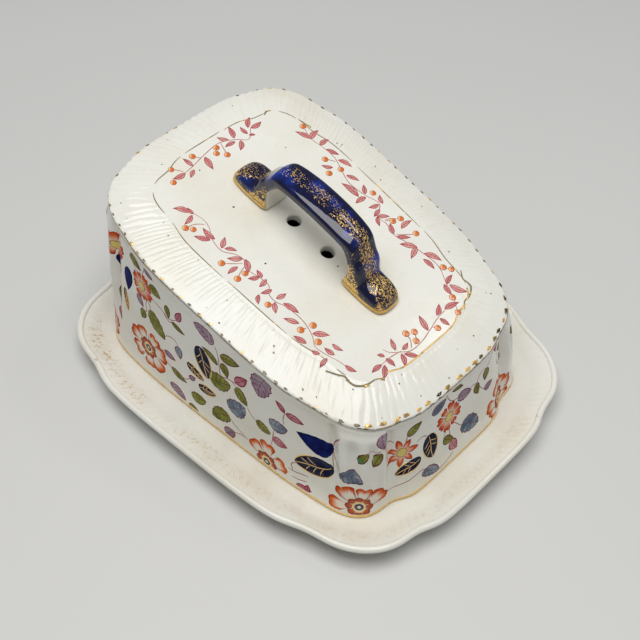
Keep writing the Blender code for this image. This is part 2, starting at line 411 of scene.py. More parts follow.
    def petal(self, surface, centre, inner, outer, middle, spread, seed, floor, notch, pointed=0.0,
              lift=0.1):
        """A petal of a flower seen from the front, as a sector with a shaped outer edge; left out
        where the foot of the wall, at height floor, leaves it no room."""
        v = np.linspace(-1, 1, 13)
        angle = middle + spread * v
        edge = outer * (1 - 0.16 * np.abs(v) ** 3 - notch * np.exp(-(v / 0.22) ** 2))
        edge = edge * (1 - pointed * np.abs(v))
        downward = -np.sin(angle)
        room = np.where(downward > 1e-3, (centre[1] - floor) / np.maximum(downward, 1e-3), 1e3)
        edge = np.minimum(edge, room)
        if edge.min() < inner + 1.2:
            return
        u = np.linspace(0, 1, 12)
        radius = inner + (edge[None, :] - inner) * u[:, None]
        angles = middle + spread * v[None, :] * (1 - 0.25 * (1 - u[:, None]))
        a = centre[0] + radius * np.cos(angles)
        b = centre[1] + radius * np.sin(angles)
        height = lift * (0.35 + 0.65 * (1 - v[None, :] ** 2)) * (0.5 + 0.5 * np.sin(np.pi * u))[:, None]
        self.patch(surface, a, b, height, u, v, seed)

    def build(self, name, material):
        piece = make_object(name, np.concatenate(self.vertices), self.faces, material, {"paint": self.paint})
        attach(piece, "cover")


CURVE_STEP = 0.8


def smooth_curve(points, closed):
    """Catmull-Rom curve through points, resampled about every CURVE_STEP."""
    if len(points) == 2 and not closed:
        count = max(3, int(np.hypot(*(points[1] - points[0])) / CURVE_STEP))
        return points[0] + (points[1] - points[0]) * np.linspace(0, 1, count)[:, None]
    if closed:
        ring = np.vstack([points[-1], points, points[0], points[1]])
    else:
        ring = np.vstack([2 * points[0] - points[1], points, 2 * points[-1] - points[-2]])
    t = np.linspace(0, 1, 12, endpoint=False)[:, None]
    parts = [0.5 * (2 * start + (end - before) * t + (2 * before - 5 * start + 4 * end - after) * t ** 2
                    + (3 * start - before - 3 * end + after) * t ** 3)
             for before, start, end, after in zip(ring, ring[1:], ring[2:], ring[3:])]
    dense = np.vstack(parts + [ring[-2][None, :]])
    length = distances(*dense.T)
    at = np.linspace(0, length[-1], max(4, int(length[-1] / CURVE_STEP)))
    return np.stack([np.interp(at, length, dense[:, 0]), np.interp(at, length, dense[:, 1])], -1)


# ---------------------------------------------------------------- materials

class Value:
    """A number that nodes work out for each point, so that a material is written as arithmetic."""

    def __init__(self, graph, socket):
        self.graph, self.socket = graph, socket

    def __add__(self, other):
        return self.graph.math("ADD", self, other)

    def __radd__(self, other):
        return self.graph.math("ADD", other, self)

    def __sub__(self, other):
        return self.graph.math("SUBTRACT", self, other)

    def __rsub__(self, other):
        return self.graph.math("SUBTRACT", other, self)

    def __mul__(self, other):
        return self.graph.math("MULTIPLY", self, other)

    def __abs__(self):
        return self.graph.math("ABSOLUTE", self)


class Graph:
    """A procedural material around one Principled shader."""

    def __init__(self, name, roughness, settings=()):
        self.material = bpy.data.materials.new(name)
        self.material.use_nodes = True
        self.tree = self.material.node_tree
        self.shader = self.tree.nodes["Principled BSDF"]
        for label, value in {"Roughness": roughness, "IOR": 1.52, **dict(settings)}.items():
            self.shader.inputs[label].default_value = value
        self.place = self.node("ShaderNodeTexCoord", {}, "Object")

    def node(self, kind, inputs, *wanted, **settings):
        """Adds a node and gives the outputs that are wanted, as one value or a list of values."""
        node = self.tree.nodes.new(kind)
        for label, value in settings.items():
            setattr(node, label, value)
        for label, value in inputs.items():
            self.feed(node.inputs[label], value)
        found = [Value(self, node.outputs[label]) for label in wanted]
        return found[0] if len(found) == 1 else found

    def feed(self, socket, value):
        if isinstance(value, Value):
            self.tree.links.new(value.socket, socket)
        elif isinstance(value, (tuple, list)):
            socket.default_value = (*value, 1.0) if len(socket.default_value) > len(value) else value
        else:
            socket.default_value = value

    def math(self, operation, *values):
        return self.node("ShaderNodeMath", dict(enumerate(values)), 0, operation=operation)

    def step(self, low, high, value):
        """0 where value is under low, 1 where it is over high, and smooth between."""
        return self.node("ShaderNodeMapRange", {"Value": value, "From Min": low, "From Max": high}, 0,
                         interpolation_type="SMOOTHSTEP")

    def fall(self, low, high, value):
        return 1.0 - self.step(low, high, value)

    def blend(self, factor, first, second):
        return self.node("ShaderNodeMix", {0: factor, 6: first, 7: second}, 2, data_type="RGBA")

    def noise(self, scale, detail, vector=None, distortion=0.0, roughness=0.5):
        return self.node("ShaderNodeTexNoise", {
            "Vector": vector or self.place, "Scale": scale, "Detail": detail, "Distortion": distortion,
            "Roughness": roughness}, "Fac")

    def cells(self, scale, *wanted, **settings):
        return self.node("ShaderNodeTexVoronoi", {"Vector": self.place, "Scale": scale}, *wanted, **settings)

    def number(self, name):
        """A value stored with the mesh."""
        return self.node("ShaderNodeAttribute", {}, "Fac", attribute_name=name)

    def vector(self, name):
        """The three parts of a vector stored with the mesh."""
        stored = self.node("ShaderNodeAttribute", {}, "Vector", attribute_name=name)
        return self.node("ShaderNodeSeparateXYZ", {0: stored}, 0, 1, 2)

    def relief(self, height, distance):
        inputs = {"Height": height, "Distance": distance, "Strength": 1.0}
        self.feed(self.shader.inputs["Normal"], self.node("ShaderNodeBump", inputs, 0))

    def finish(self, colour, **settings):
        for label, value in {"Base Color": colour, **settings}.items():
            self.feed(self.shader.inputs[label], value)
        return self.material


IVORY = (0.79, 0.785, 0.73)
WARM_IVORY = (0.745, 0.72, 0.63)
# enamel that hardly shines
MATT = {"Specular IOR Level": 0.06, "IOR": 1.15}


def glaze_base(graph):
    """Old ivory glaze: cloudy colour, pinholes, and a faint net of crazing."""
    colour = graph.blend(graph.step(0.35, 0.75, graph.noise(28, 4)), IVORY, WARM_IVORY)
    colour = graph.blend(graph.step(0.5, 0.8, graph.noise(9, 5)) * 0.35, colour, (0.66, 0.66, 0.60))
    craze = graph.cells(170, "Distance", feature="DISTANCE_TO_EDGE")
    colour = graph.blend(graph.fall(0.0, 0.035, craze) * 0.07, colour, (0.45, 0.36, 0.22))
    distance, tint = graph.cells(75, "Distance", "Color")
    lottery = graph.node("ShaderNodeSeparateColor", {0: tint}, 0)
    pin = graph.fall(0.03, 0.055, distance) * graph.math("GREATER_THAN", lottery, 0.86) * 0.85
    return graph.blend(pin, colour, (0.12, 0.09, 0.05))


def glaze_ripple(graph):
    graph.relief(graph.noise(85, 2) + graph.noise(420, 2) * 0.18, 0.00012)


def cover_glaze():
    """Glaze of the cover: dirt and painted shade in its grooves, under its rim and at its foot, and brown
    wear along its edge.
    """
    graph = Graph("cover_glaze_paint", 0.15, {"Specular IOR Level": 0.34})
    # painted shade together with dirt: brown darkening in the creases, the rib hollows, under the rim and at
    # the foot where the cover sits on the stand
    dirt_and_shade = graph.number("groove") * graph.step(0.35, 0.7, graph.noise(60, 4))
    colour = graph.blend(dirt_and_shade * 0.17, glaze_base(graph), (0.50, 0.42, 0.27))
    worn = graph.number("edge") * graph.step(0.5, 0.62, graph.noise(150, 5, roughness=0.65))
    colour = graph.blend(worn * 0.65, colour, (0.23, 0.15, 0.06))
    glaze_ripple(graph)
    return graph.finish(colour, Roughness=0.10 + graph.noise(40, 3) * 0.07)


def stand_glaze():
    """Glaze of the stand: a ring of brown specks, mostly at its tall end, and a bare foot."""
    graph = Graph("stand_glaze_paint", 0.15)
    inset = graph.number("inset")
    ring = graph.step(4.0, 9.0, inset) * graph.fall(11.0, 17.0, inset)
    drawn = graph.node("ShaderNodeCombineXYZ", {"X": graph.number("around"), "Y": inset * 0.8}, 0)
    speck = graph.step(0.525, 0.60, graph.noise(0.42, 5, vector=drawn, roughness=0.68))
    share = graph.fall(-0.06, 0.06, graph.node("ShaderNodeSeparateXYZ", {0: graph.place}, 0))
    patch = graph.step(0.44, 0.54, graph.noise(26, 3) + share * 0.09)
    stain = speck * patch * (ring * (0.25 + share * 0.75))
    colour = graph.blend(stain * 0.85, glaze_base(graph), (0.54, 0.34, 0.14))
    colour = graph.blend(patch * ring * 0.03, colour, (0.62, 0.47, 0.27))
    wear = graph.step(0.60, 0.70, graph.noise(60, 6, roughness=0.68))
    colour = graph.blend(wear * graph.number("edge") * 0.6, colour, (0.36, 0.20, 0.07))
    foot = graph.number("bare")
    colour = graph.blend(foot, colour, (0.55, 0.42, 0.26))
    glaze_ripple(graph)
    return graph.finish(colour, Roughness=0.11 + foot * 0.6)


def handle_glaze():
    """Cobalt glaze, sponged with fine gold flecks, with a solid gold line round each foot."""
    graph = Graph("handle_cobalt_paint", 0.06)
    u, v, across = graph.vector("local")
    out = abs(across)
    wavy = (graph.noise(120, 2) - 0.5) * 3.0
    high = graph.step(19.0, 26.0, v)
    # bare cobalt shows brighter towards the tall end of the grip
    tall = high * graph.fall(-22.0, 4.0, u)
    cloud = graph.step(0.50, 0.80, graph.noise(85, 3) + tall * 0.10)
    colour = graph.blend(cloud, (0.002, 0.003, 0.030), (0.004, 0.034, 0.30))
    # the flecks follow the middle of the grip and crowd on the inner sides of the feet
    on_toe = graph.step(40.0, 46.0, abs(u)) * -2.8
    middle = graph.fall(3.2, 5.8, on_toe + (out + wavy))
    side = graph.step(6.3, 7.2, out)
    inner_side = side * graph.fall(14.0, 23.0, v) * graph.fall(39.5, 43.5, wavy + (v * 0.47 + abs(u)))
    sole = graph.step(5.0, 7.0, out) * graph.fall(5.0, 8.0, v)
    lower_edge = side * high * graph.fall(25.6, 27.2, v)
    level = (graph.noise(55, 2) - 0.5) * 0.36
    for mask, amount in ((middle, 0.18), (tall, -0.035), (side, -0.06), (inner_side, 0.27), (sole, 0.17),
                         (lower_edge, 0.16), (graph.step(0.0, 20.0, u), 0.025)):
        level = level + mask * amount
    stretched = graph.node("ShaderNodeMapping", {"Vector": graph.place, "Scale": (1.0, 1.6, 1.0)}, 0)
    flecks = graph.noise(980, 2, vector=stretched, distortion=0.8, roughness=0.55) + level
    height = v + (graph.noise(230, 3) - 0.5) * 1.2
    sponge = graph.step(0.755, 0.785, flecks) * graph.step(3.1, 3.5, height)
    band = graph.fall(2.75, 3.0, height) * graph.step(0.27, 0.33, graph.noise(300, 4, roughness=0.6))
    bare = graph.number("bare")
    gilt = graph.math("MAXIMUM", sponge, band) * (1.0 - bare)
    colour = graph.blend(bare, colour, WARM_IVORY)
    gold = graph.blend(graph.noise(500, 3), (0.70, 0.40, 0.07), (0.98, 0.68, 0.24))
    crack = graph.fall(0.05, 0.22, abs(v - 1.5))
    gold = graph.blend(crack * 0.6, gold, (0.20, 0.10, 0.03))
    graph.relief(gilt * 0.35 + graph.noise(120, 2), 0.00007)
    return graph.finish(graph.blend(gilt, colour, gold), Roughness=0.06 + gilt * 0.25, Metallic=gilt * 0.4)


def leaf_enamel(name, fill, second, outline_colour, vein, hatch, outline_width=0.62):
    """Brushed leaf: two tones of fill, fine hatching, a midrib with side veins and an outline."""
    graph = Graph(name, 0.2, MATT)
    u, v, half = graph.vector("paint")
    side = abs(v)
    from_midrib = side * half
    from_edge = half - from_midrib + (graph.noise(400, 2) - 0.5) * (outline_width * 0.9)
    lines = graph.math("SINE", u * 60.0 + side * -22.0)
    ribs = graph.math("FRACT", u * 5.0 - side * 1.1)
    colour = graph.blend(graph.step(0.34, 0.66, graph.noise(190, 3)), fill, second)
    colour = graph.blend(graph.step(0.5, 0.75, graph.noise(45, 2)) * 0.5, colour, [c * 0.7 for c in fill])
    for mask in (graph.step(0.2, 0.9, lines) * hatch,
                 graph.fall(0.05, 0.16, abs(ribs - 0.5)) * vein,
                 graph.fall(0.10, 0.30, from_midrib) * (vein + 0.25),
                 graph.fall(outline_width * 0.7, outline_width * 1.25, from_edge)):
        colour = graph.blend(mask, colour, outline_colour)
    return graph.finish(colour)


def petal_enamel(name, outer, deep, pale, start=0.42, end=0.86):
    """Petal washed with colour from its outer edge to nearly bare glaze at its root."""
    graph = Graph(name, 0.2, MATT)
    u, v, _ = graph.vector("paint")
    side = abs(v)
    streak = graph.math("SINE", v * 24.0 + graph.noise(160, 2) * 8.0)
    reach = u + streak * 0.06 + graph.step(0.55, 1.0, side) * 0.28
    colour = graph.blend(graph.step(start, end, reach), pale, outer)
    shade = graph.step(0.62, 1.05, reach) * graph.step(0.35, 0.7, graph.noise(210, 3))
    colour = graph.blend(shade, colour, deep)
    border = graph.step(0.88, 0.97, graph.math("MAXIMUM", side, u))
    return graph.finish(graph.blend(border * 0.75, colour, deep))


def disc_enamel(name, middle, rim):
    """Round spot with a darker rim."""
    graph = Graph(name, 0.18)
    radius, _, _ = graph.vector("paint")
    colour = graph.blend(graph.step(0.3, 0.7, graph.noise(300, 3)), middle, [c * 0.8 for c in middle])
    return graph.finish(graph.blend(graph.step(0.82, 0.94, radius), colour, rim))


def berry_enamel():
    """Orange berry with a painted highlight on one side and a darker outline."""
    graph = Graph("berry_orange", 0.16)
    radius, turn, _ = graph.vector("paint")
    # painted highlight: each berry is pale towards one side and darker on the opposite side
    lit = graph.math("COSINE", (turn - 0.6) * (2 * math.pi)) * radius
    colour = graph.blend(graph.step(-0.1, 0.75, lit), (0.62, 0.15, 0.025), (0.88, 0.55, 0.30))
    return graph.finish(graph.blend(graph.step(0.80, 0.95, radius), colour, (0.36, 0.06, 0.02)))


def gilding(name, worn, base=(0.30, 0.19, 0.07)):
    """Gold that has rubbed through to a brown ground."""
    graph = Graph(name, 0.3)
    rub = graph.step(worn - 0.06, worn + 0.06, graph.noise(230, 5, roughness=0.6))
    gold = graph.blend(graph.noise(420, 3), (0.68, 0.40, 0.09), (0.96, 0.66, 0.26))
    return graph.finish(graph.blend(rub, base, gold), Metallic=rub * 0.3, Roughness=0.45 - rub * 0.18)


def line_enamel(name, colour, second):
    graph = Graph(name, 0.22)
    return graph.finish(graph.blend(graph.step(0.4, 0.65, graph.noise(240, 3)), colour, second))


# ---------------------------------------------------------------- bodies

WALL_ROWS, WALL_TOP_ROWS, RIM_ROWS, BORDER_ROWS = 26, 6, 9, 22
FOOT_ROUNDING, FOOT_ROUNDING_SHARE = 0.35, 0.006


def build_cover_body():
    """The cover as one closed shell: inside, wall, rim, fluted border and panel."""
    angles, count = RIM_ANGLES, len(RIM_ANGLES)
    # a second value per ring marks where dirt and painted shade darken the glaze: the creases, the rib
    # hollows, the rim's underside and the wall's foot
    rings, groove, edge = [], [], []

    def add(points, dirt_and_shade_value=0.0, edge_value=0.0):
        rings.append(points)
        groove.append(np.broadcast_to(dirt_and_shade_value, count))
        edge.append(np.broadcast_to(edge_value, count))

    def add_flat(inset, drop):
        x, y = outline(PANEL, angles, inset)
        add(np.stack([x, y, top_plane(x, drop)], -1))

    for inset in (8.0, 0.0):
        add_flat(inset, COVER_THICKNESS - PANEL_RISE)
    for share in (1.0, 0.97, 0.75, 0.5, 0.25, 0.05, 0.0):
        x, y = outline(mix(COVER_BASE, COVER_RIM, share), angles, COVER_THICKNESS + OVERHANG * share)
        top = top_plane(x, COVER_THICKNESS + RIM_EDGE)
        add(np.stack([x, y, COVER_FOOT + (top - COVER_FOOT) * share], -1))
    # the foot, then up the outer wall with its edge slightly rounded
    for turn in (0.25, 0.75):
        x, y = outline(COVER_BASE, angles, COVER_THICKNESS * (1 - turn))
        add(np.stack([x, y, np.full(count, COVER_FOOT)], -1))
    for share in np.concatenate([[0.004, 0.012], np.linspace(0.04, 0.9, WALL_ROWS),
                                 np.linspace(0.92, 1.0, WALL_TOP_ROWS)]):
        crease = np.clip(-column(angles, share) * 0.8, 0, 1)
        rounding = FOOT_ROUNDING * math.exp(-share / FOOT_ROUNDING_SHARE)
        add(wall_point(angles, np.full(count, share), rounding), crease + 0.8 * math.exp(-share / 0.05))
    # the underside of the rim is darkened with painted shade and dirt
    for turn in np.linspace(0.02, 0.98, RIM_ROWS):
        add(rim_point(angles, np.full(count, turn)), 0.4 * (1 - turn), 1 - smooth(0.7, 1.0, turn))
    # the hollows between the ribs are darkened with painted shade and dirt
    for share in np.linspace(0.02, 1.0, BORDER_ROWS):
        hollow = np.clip(-rib_relief(angles, share) / RIB_HEIGHT * 1.8, 0, 1)
        add(border_point(angles, np.full(count, share)), hollow, 0.35 * math.exp(-share / 0.03))
    for inset in (1.2, 4.0, 12.0, 25.0, 36.0):
        add_flat(inset, -PANEL_RISE)
    piece = make_object("cover_body", np.concatenate(rings), loft_faces(len(rings), count), cover_glaze(),
                        {"groove": groove, "edge": edge})
    for number, x in enumerate(VENT_X):
        cut_vent(piece, x, number)
    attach(piece, "cover")
    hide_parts("cover")


def cut_vent(piece, x, number):
    """Cuts one vent hole, slightly funnelled where the glaze has run into it."""
    profile = [(0, -12.0), (0, -1.1), (0.15, -0.6), (0.5, -0.12), (0.9, 0.06), (0.9, 3.0)]
    turns = np.linspace(0, 2 * np.pi, VENT_TURNS, endpoint=False)
    uneven = 1 + 0.02 * np.sin(2 * turns + number) + 0.015 * np.sin(3 * turns + 2 * number)
    rings = []
    for wider, z in profile:
        reach = (VENT_RADIUS + wider) * uneven
        rings.append(np.stack([reach * np.cos(turns), reach * np.sin(turns), np.full(VENT_TURNS, z)], -1))
    cutter = make_object("vent_cutter", on_panel_slope(np.concatenate(rings), x),
                         loft_faces(len(rings), VENT_TURNS), piece.data.materials[0], {})
    cut = piece.modifiers.new("vent", "BOOLEAN")
    cut.operation, cut.solver, cut.object = "DIFFERENCE", "EXACT", cutter
    bpy.context.view_layer.update()
    result = bpy.data.meshes.new_from_object(
        piece.evaluated_get(bpy.context.evaluated_depsgraph_get()))
    piece.modifiers.clear()
    old = piece.data
    piece.data = result
    bpy.data.meshes.remove(old)
    bpy.data.objects.remove(cutter)
    sharpen_vent(piece, x)


def on_panel_slope(points, x, lift=0.0):
    """Points drawn on a level panel, turned to its slope and set at x."""
    tilt = np.array(Matrix.Rotation(TILT, 3, "Y"))
    return points @ tilt.T + np.array([x, 0, top_plane(x, -PANEL_RISE - lift)])


def sharpen_vent(piece, x):
    """Keeps the flat panel's shading clear of the funnel of a vent."""
    reach, sharp = 6 * MM, math.radians(14)
    axis = Vector((math.sin(TILT), 0, math.cos(TILT)))
    middle = Vector((x, 0, float(top_plane(x, -PANEL_RISE)))) * MM
    builder = bmesh.new()
    builder.from_mesh(piece.data)
    for edge in builder.edges:
        offsets = [vertex.co - middle for vertex in edge.verts]
        if all((offset - axis * offset.dot(axis)).length < reach for offset in offsets):
            if len(edge.link_faces) == 2 and edge.calc_face_angle(0) > sharp:
                edge.smooth = False
    builder.to_mesh(piece.data)
    builder.free()


BORDER_TOE, ROLL_RADIUS, ROLL_REACH = 0.6, 1.9, 1.69


def stand_profile():
    """Rows of the stand from the middle of its well round to the middle of its underside, each as
    (share of the way from the well to the rim, height, inset), and the number of rows on its top."""
    rows = [(0, FLOOR_HEIGHT, inset) for inset in (30, 12, 3)] + [(0, FLOOR_HEIGHT + BORDER_TOE, 0.5)]
    shares = np.linspace(0, 1, 19)[1:-2]
    heights = np.interp(shares, [0, 0.25, 0.6, 0.88], [
        FLOOR_HEIGHT + BORDER_TOE, FLOOR_HEIGHT + 2.6, FLOOR_HEIGHT + 6.8, RIM_HEIGHT - 0.5])
    heights = np.convolve(np.pad(heights, 1, "edge"), [0.25, 0.5, 0.25], "valid")
    rows += [(share, height, 0.0) for share, height in zip(shares, heights)]
    top_rows = len(rows)
    for turn in np.linspace(-0.35, 1.15, 12) * math.pi - 0.5 * math.pi + 0.35:
        rows.append((1, RIM_HEIGHT - ROLL_RADIUS * (1 - math.cos(turn)), 1.75 - ROLL_REACH * math.sin(turn)))
    foot_inner = FOOT_INSET + FOOT_WIDTH
    rows += [(1, 13.2, 3.2), (0.6, FLOOR_HEIGHT + 6.8 - STAND_THICKNESS, 0), (0.25, 4.6, 0), (0, 3.2, -1),
             (0, 2.4, FOOT_INSET - 3), (0, 0.4, FOOT_INSET - 0.3), (0, 0, FOOT_INSET + 0.4),
             (0, 0, foot_inner - 0.4), (0, 0.4, foot_inner + 0.3), (0, RECESS_DEPTH, foot_inner + 2),
             (0, RECESS_DEPTH, 40)]
    return rows, top_rows


def build_stand_body():
    """The stand: flat well, rising rim with faint flutes, rolled edge and foot ring."""
    count = STAND_COLUMNS
    angles = stepped_angles(STAND_RIM, count)
    flute = np.cos(np.arange(count) / 6 * 2 * np.pi)
    rim_x, rim_y = outline(STAND_RIM, angles)
    around = np.cumsum(np.hypot(np.diff(rim_x, prepend=rim_x[-1]), np.diff(rim_y, prepend=rim_y[-1])))
    rows, top_rows = stand_profile()
    rings, values = [], {"inset": [], "edge": [], "bare": [], "around": [around] * len(rows)}
    for number, (share, height, inset) in enumerate(rows):
        x, y = outline(mix(WELL, STAND_RIM, share), angles, inset)
        z = np.full(count, float(height))
        if number < top_rows and share > 0.3:
            z += 0.13 * flute * smooth(0.3, 0.5, share) * (1 - smooth(0.9, 1.0, share))
        rings.append(np.stack([x, y, z], -1))
        seen = number < top_rows or share == 1
        values["inset"].append(np.hypot(rim_x - x, rim_y - y) if seen else np.full(count, 60.0))
        values["edge"].append(np.full(count, float(share == 1 and height > 13.5)))
        values["bare"].append(np.full(count, float(height < 0.3)))
    piece = make_object("stand_body", np.concatenate(rings), loft_faces(len(rings), count), stand_glaze(),
                        values)
    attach(piece, "stand")
    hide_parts("stand")


HANDLE_CENTRE_X = -7.0
# Half of the handle from its low toe to its middle: the place of its top and of its underside
# along and above the panel, and its half width.
HANDLE_HALF = [
    (55.2, 2.2, 54.4, 0.0, 4.8), (54.2, 5.4, 52.2, 0.0, 7.6), (51.2, 8.2, 47.2, 0.0, 8.9),
    (47.0, 9.7, 41.2, 0.0, 9.3), (42.8, 10.3, 35.6, 0.0, 9.3), (39.8, 11.3, 30.4, 0.0, 9.2),
    (38.0, 13.4, 27.4, 1.4, 9.0), (36.8, 15.9, 28.6, 6.4, 8.5), (34.9, 19.3, 28.9, 11.0, 8.5),
    (31.2, 24.8, 26.7, 16.8, 8.5), (28.8, 28.5, 24.3, 20.7, 8.5), (27.4, 29.7, 23.2, 22.0, 8.5),
    (25.6, 30.6, 22.4, 22.8, 8.6), (18.0, 31.9, 17.0, 24.7, 9.0), (7.0, 33.2, 6.8, 25.4, 9.2)]
HANDLE_MIDDLE = (0.0, 33.4, 0.0, 25.6, 9.2)
HANDLE_ROWS, HANDLE_TURNS = 190, 72
END_SHRINKS = (0.55, 0.82)
# how square the section is above and below, on the grip and on the toes, and its bevelled shoulders
GRIP_CRISP, GRIP_UNDER = 8.0, 4.6
TOE_ROUND, TOE_SOLE = 2.5, 8.0
BEVEL_SLOPE, BEVEL_REACH = 0.60, 1.24


def gentle_curve(knots, values, at):
    """Cubic through values that never overshoots between its knots."""
    widths = np.diff(knots)
    slopes = np.diff(values) / widths
    tangent = np.zeros(len(knots))
    same = slopes[1:] * slopes[:-1] > 0
    total = np.where(same, slopes[1:] + slopes[:-1], 1)
    tangent[1:-1] = np.where(same, 2 * slopes[1:] * slopes[:-1] / total, 0)
    tangent[0], tangent[-1] = slopes[0], slopes[-1]
    index = np.clip(np.searchsorted(knots, at, side="right") - 1, 0, len(knots) - 2)
    width = widths[index]
    t = (at - knots[index]) / width
    return ((1 + 2 * t) * (1 - t) ** 2 * values[index] + t * (1 - t) ** 2 * width * tangent[index]
            + t * t * (3 - 2 * t) * values[index + 1] + t * t * (t - 1) * width * tangent[index + 1])


def handle_section(row, shrink):
    """One ring of the handle, as (along, above, across) for each point, and how bare it is."""
    turns = 2 * np.pi * (np.arange(HANDLE_TURNS) + 0.5) / HANDLE_TURNS
    cosine, sine = np.cos(turns), np.sin(turns)
    centre, reach = (row[0:2] + row[2:4]) / 2, (row[0:2] - row[2:4]) / 2
    on_panel = float(smooth(32.5, 41.0, abs(row[0])))
    upper = GRIP_CRISP + (TOE_ROUND - GRIP_CRISP) * on_panel
    lower = GRIP_UNDER + (TOE_SOLE - GRIP_UNDER) * on_panel
    power = np.where(sine > 0, upper, lower)
    bevel = np.maximum(sine + BEVEL_SLOPE * np.abs(cosine), 0) / BEVEL_REACH * (1 - on_panel)
    size = (np.abs(cosine) ** power + np.abs(sine) ** power + bevel ** power) ** (-1 / power)
    u = centre[0] + reach[0] * size * sine * shrink + np.sign(row[0]) * 0.9 * (1 - shrink)
    v = centre[1] + reach[1] * size * sine * shrink
    across = row[4] * size * cosine * shrink
    # the toes step in above their sole
    ledge = 0.6 * float(smooth(0.4, 1.0, on_panel)) * smooth(1.9, 2.5, v)
    across = across - np.sign(across) * np.minimum(ledge, np.abs(across))
    u = u - np.sign(u) * ledge * smooth(44, 52, np.abs(u))
    bare = smooth(0.50, 0.80, -size * sine) * (1 - smooth(0.84, 0.97, size * np.abs(cosine)))
    return np.stack([u, v, across], -1), bare


def build_handle_body():
    """The bridge handle, drawn through the same kind of sections as its CAD piece."""
    half = np.array(HANDLE_HALF)
    rows = np.vstack([half, HANDLE_MIDDLE, half[::-1] * np.array([-1, 1, -1, 1, 1])])
    knots = distances(*((rows[:, 0:2] + rows[:, 2:4]) / 2).T)
    at = np.linspace(0, knots[-1], HANDLE_ROWS)
    fine = np.stack([gentle_curve(knots, rows[:, i], at) for i in range(5)], -1)
    sections = [(fine[0], shrink) for shrink in END_SHRINKS] + [(row, 1.0) for row in fine]
    sections += [(fine[-1], shrink) for shrink in reversed(END_SHRINKS)]
    local, bare = zip(*(handle_section(row, shrink) for row, shrink in sections))
    u, v, across = np.concatenate(local).T
    points = np.stack([u, across, np.maximum(v, 0.0)], -1)
    piece = make_object("handle_body", on_panel_slope(points, HANDLE_CENTRE_X, 0.02),
                        loft_faces(len(sections), HANDLE_TURNS), handle_glaze(),
                        {"local": local, "bare": bare})
    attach(piece, "cover")
    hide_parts("handle")


# ---------------------------------------------------------------- painting on the panel

# Sprays on the panel: leaves as (base x, base y, tip x, tip y), berries and the lines of the stems.
PANEL_LEAVES = [
    (-54, 45, -56, 53), (-54, 46, -63, 42), (-48, 46, -48, 53), (-44, 47, -37, 50), (-35, 47, -27, 49.5),
    (-33, 41, -38, 37), (-25, 43, -18, 46), (-11, 38, -23, 37), (-10, 42, -15, 46), (-8.5, 41, -9, 33.5),
    (0, 45, -5, 48), (-1, 43, -3, 37), (1.5, 41, 3, 35), (4, 36, 8, 42), (4, 36, 9, 33), (17, 41, 17, 49.5),
    (17, 35, 11, 39), (19, 35, 24, 41), (30, 39, 23, 33), (30, 39, 33, 31), (35, 39, 44, 43),
    (37, 36, 45, 36), (55, 34, 53, 41), (56, 35, 65, 39.5), (54, 33, 61, 31.5), (64, 22, 66, 31),
    (64, 16, 60, 22), (66, 16, 72, 17), (67, 6, 58, 9), (66, -12, 65, -7), (64, -15, 58, -12),
    (68, -13, 74, -8), (67, -14, 73, -18), (63, -21.5, 60, -24), (64, -22, 70, -21.5), (66, -25, 71, -31),
    (65, -26, 65, -33), (-55, -38, -60, -38), (-57, -39, -64, -44), (-55, -39, -53, -46),
    (-37, -40, -46, -40), (-38, -42, -45, -47), (-31, -41, -35, -35), (-30, -40, -25, -36),
    (-20, -37, -25, -43), (-19, -36, -12, -41), (-18, -42, -18, -49), (-6, -37, -11, -36),
    (-7, -38, -10, -43), (-4, -36, -3, -42), (2, -38, 0, -44), (0, -45, 4, -49), (7, -40, 8, -34),
    (11, -39, 20, -37), (8, -42, 13, -46), (24, -41, 17, -45), (32, -40, 38, -34), (47, -40, 41, -41),
    (42, -36.5, 48, -35), (34, -46, 27, -48), (42, -45, 38, -47), (46, -44, 47, -50), (54, -40, 60, -38),
    (-79, 24, -79, 32), (-80, 23, -85, 29), (-76, 20, -74, 23), (-77, 20, -83, 20), (-79, 12, -87, 15),
    (-76, 14, -71, 9), (-80, 9, -85, 5), (-77, 11, -77.5, 4), (-79, -9, -70, -11), (-78, -18, -85, -19),
    (-76, -19, -73, -24), (-77, -24, -78, -32)]
PANEL_BERRIES = [
    (-63, 48), (-39.5, 41.5), (-29.5, 43.5), (-31.5, 36.5), (-8, 46), (12.5, 45.5), (11, 41), (24, 45),
    (47, 40.5), (50.5, 43), (62, 30.5), (69.5, 26), (69, 11), (63, 0), (61, -4), (67, -3), (-51, -47),
    (-48, -44.5), (-13, -42), (-24.5, -47), (-13, -47), (7, -45.5), (29, -36.5), (27, -43), (37, -41),
    (-80, 0), (-73, 1.5), (-77, -2.5), (-83, -14), (-83, -28.5), (-76, -33)]
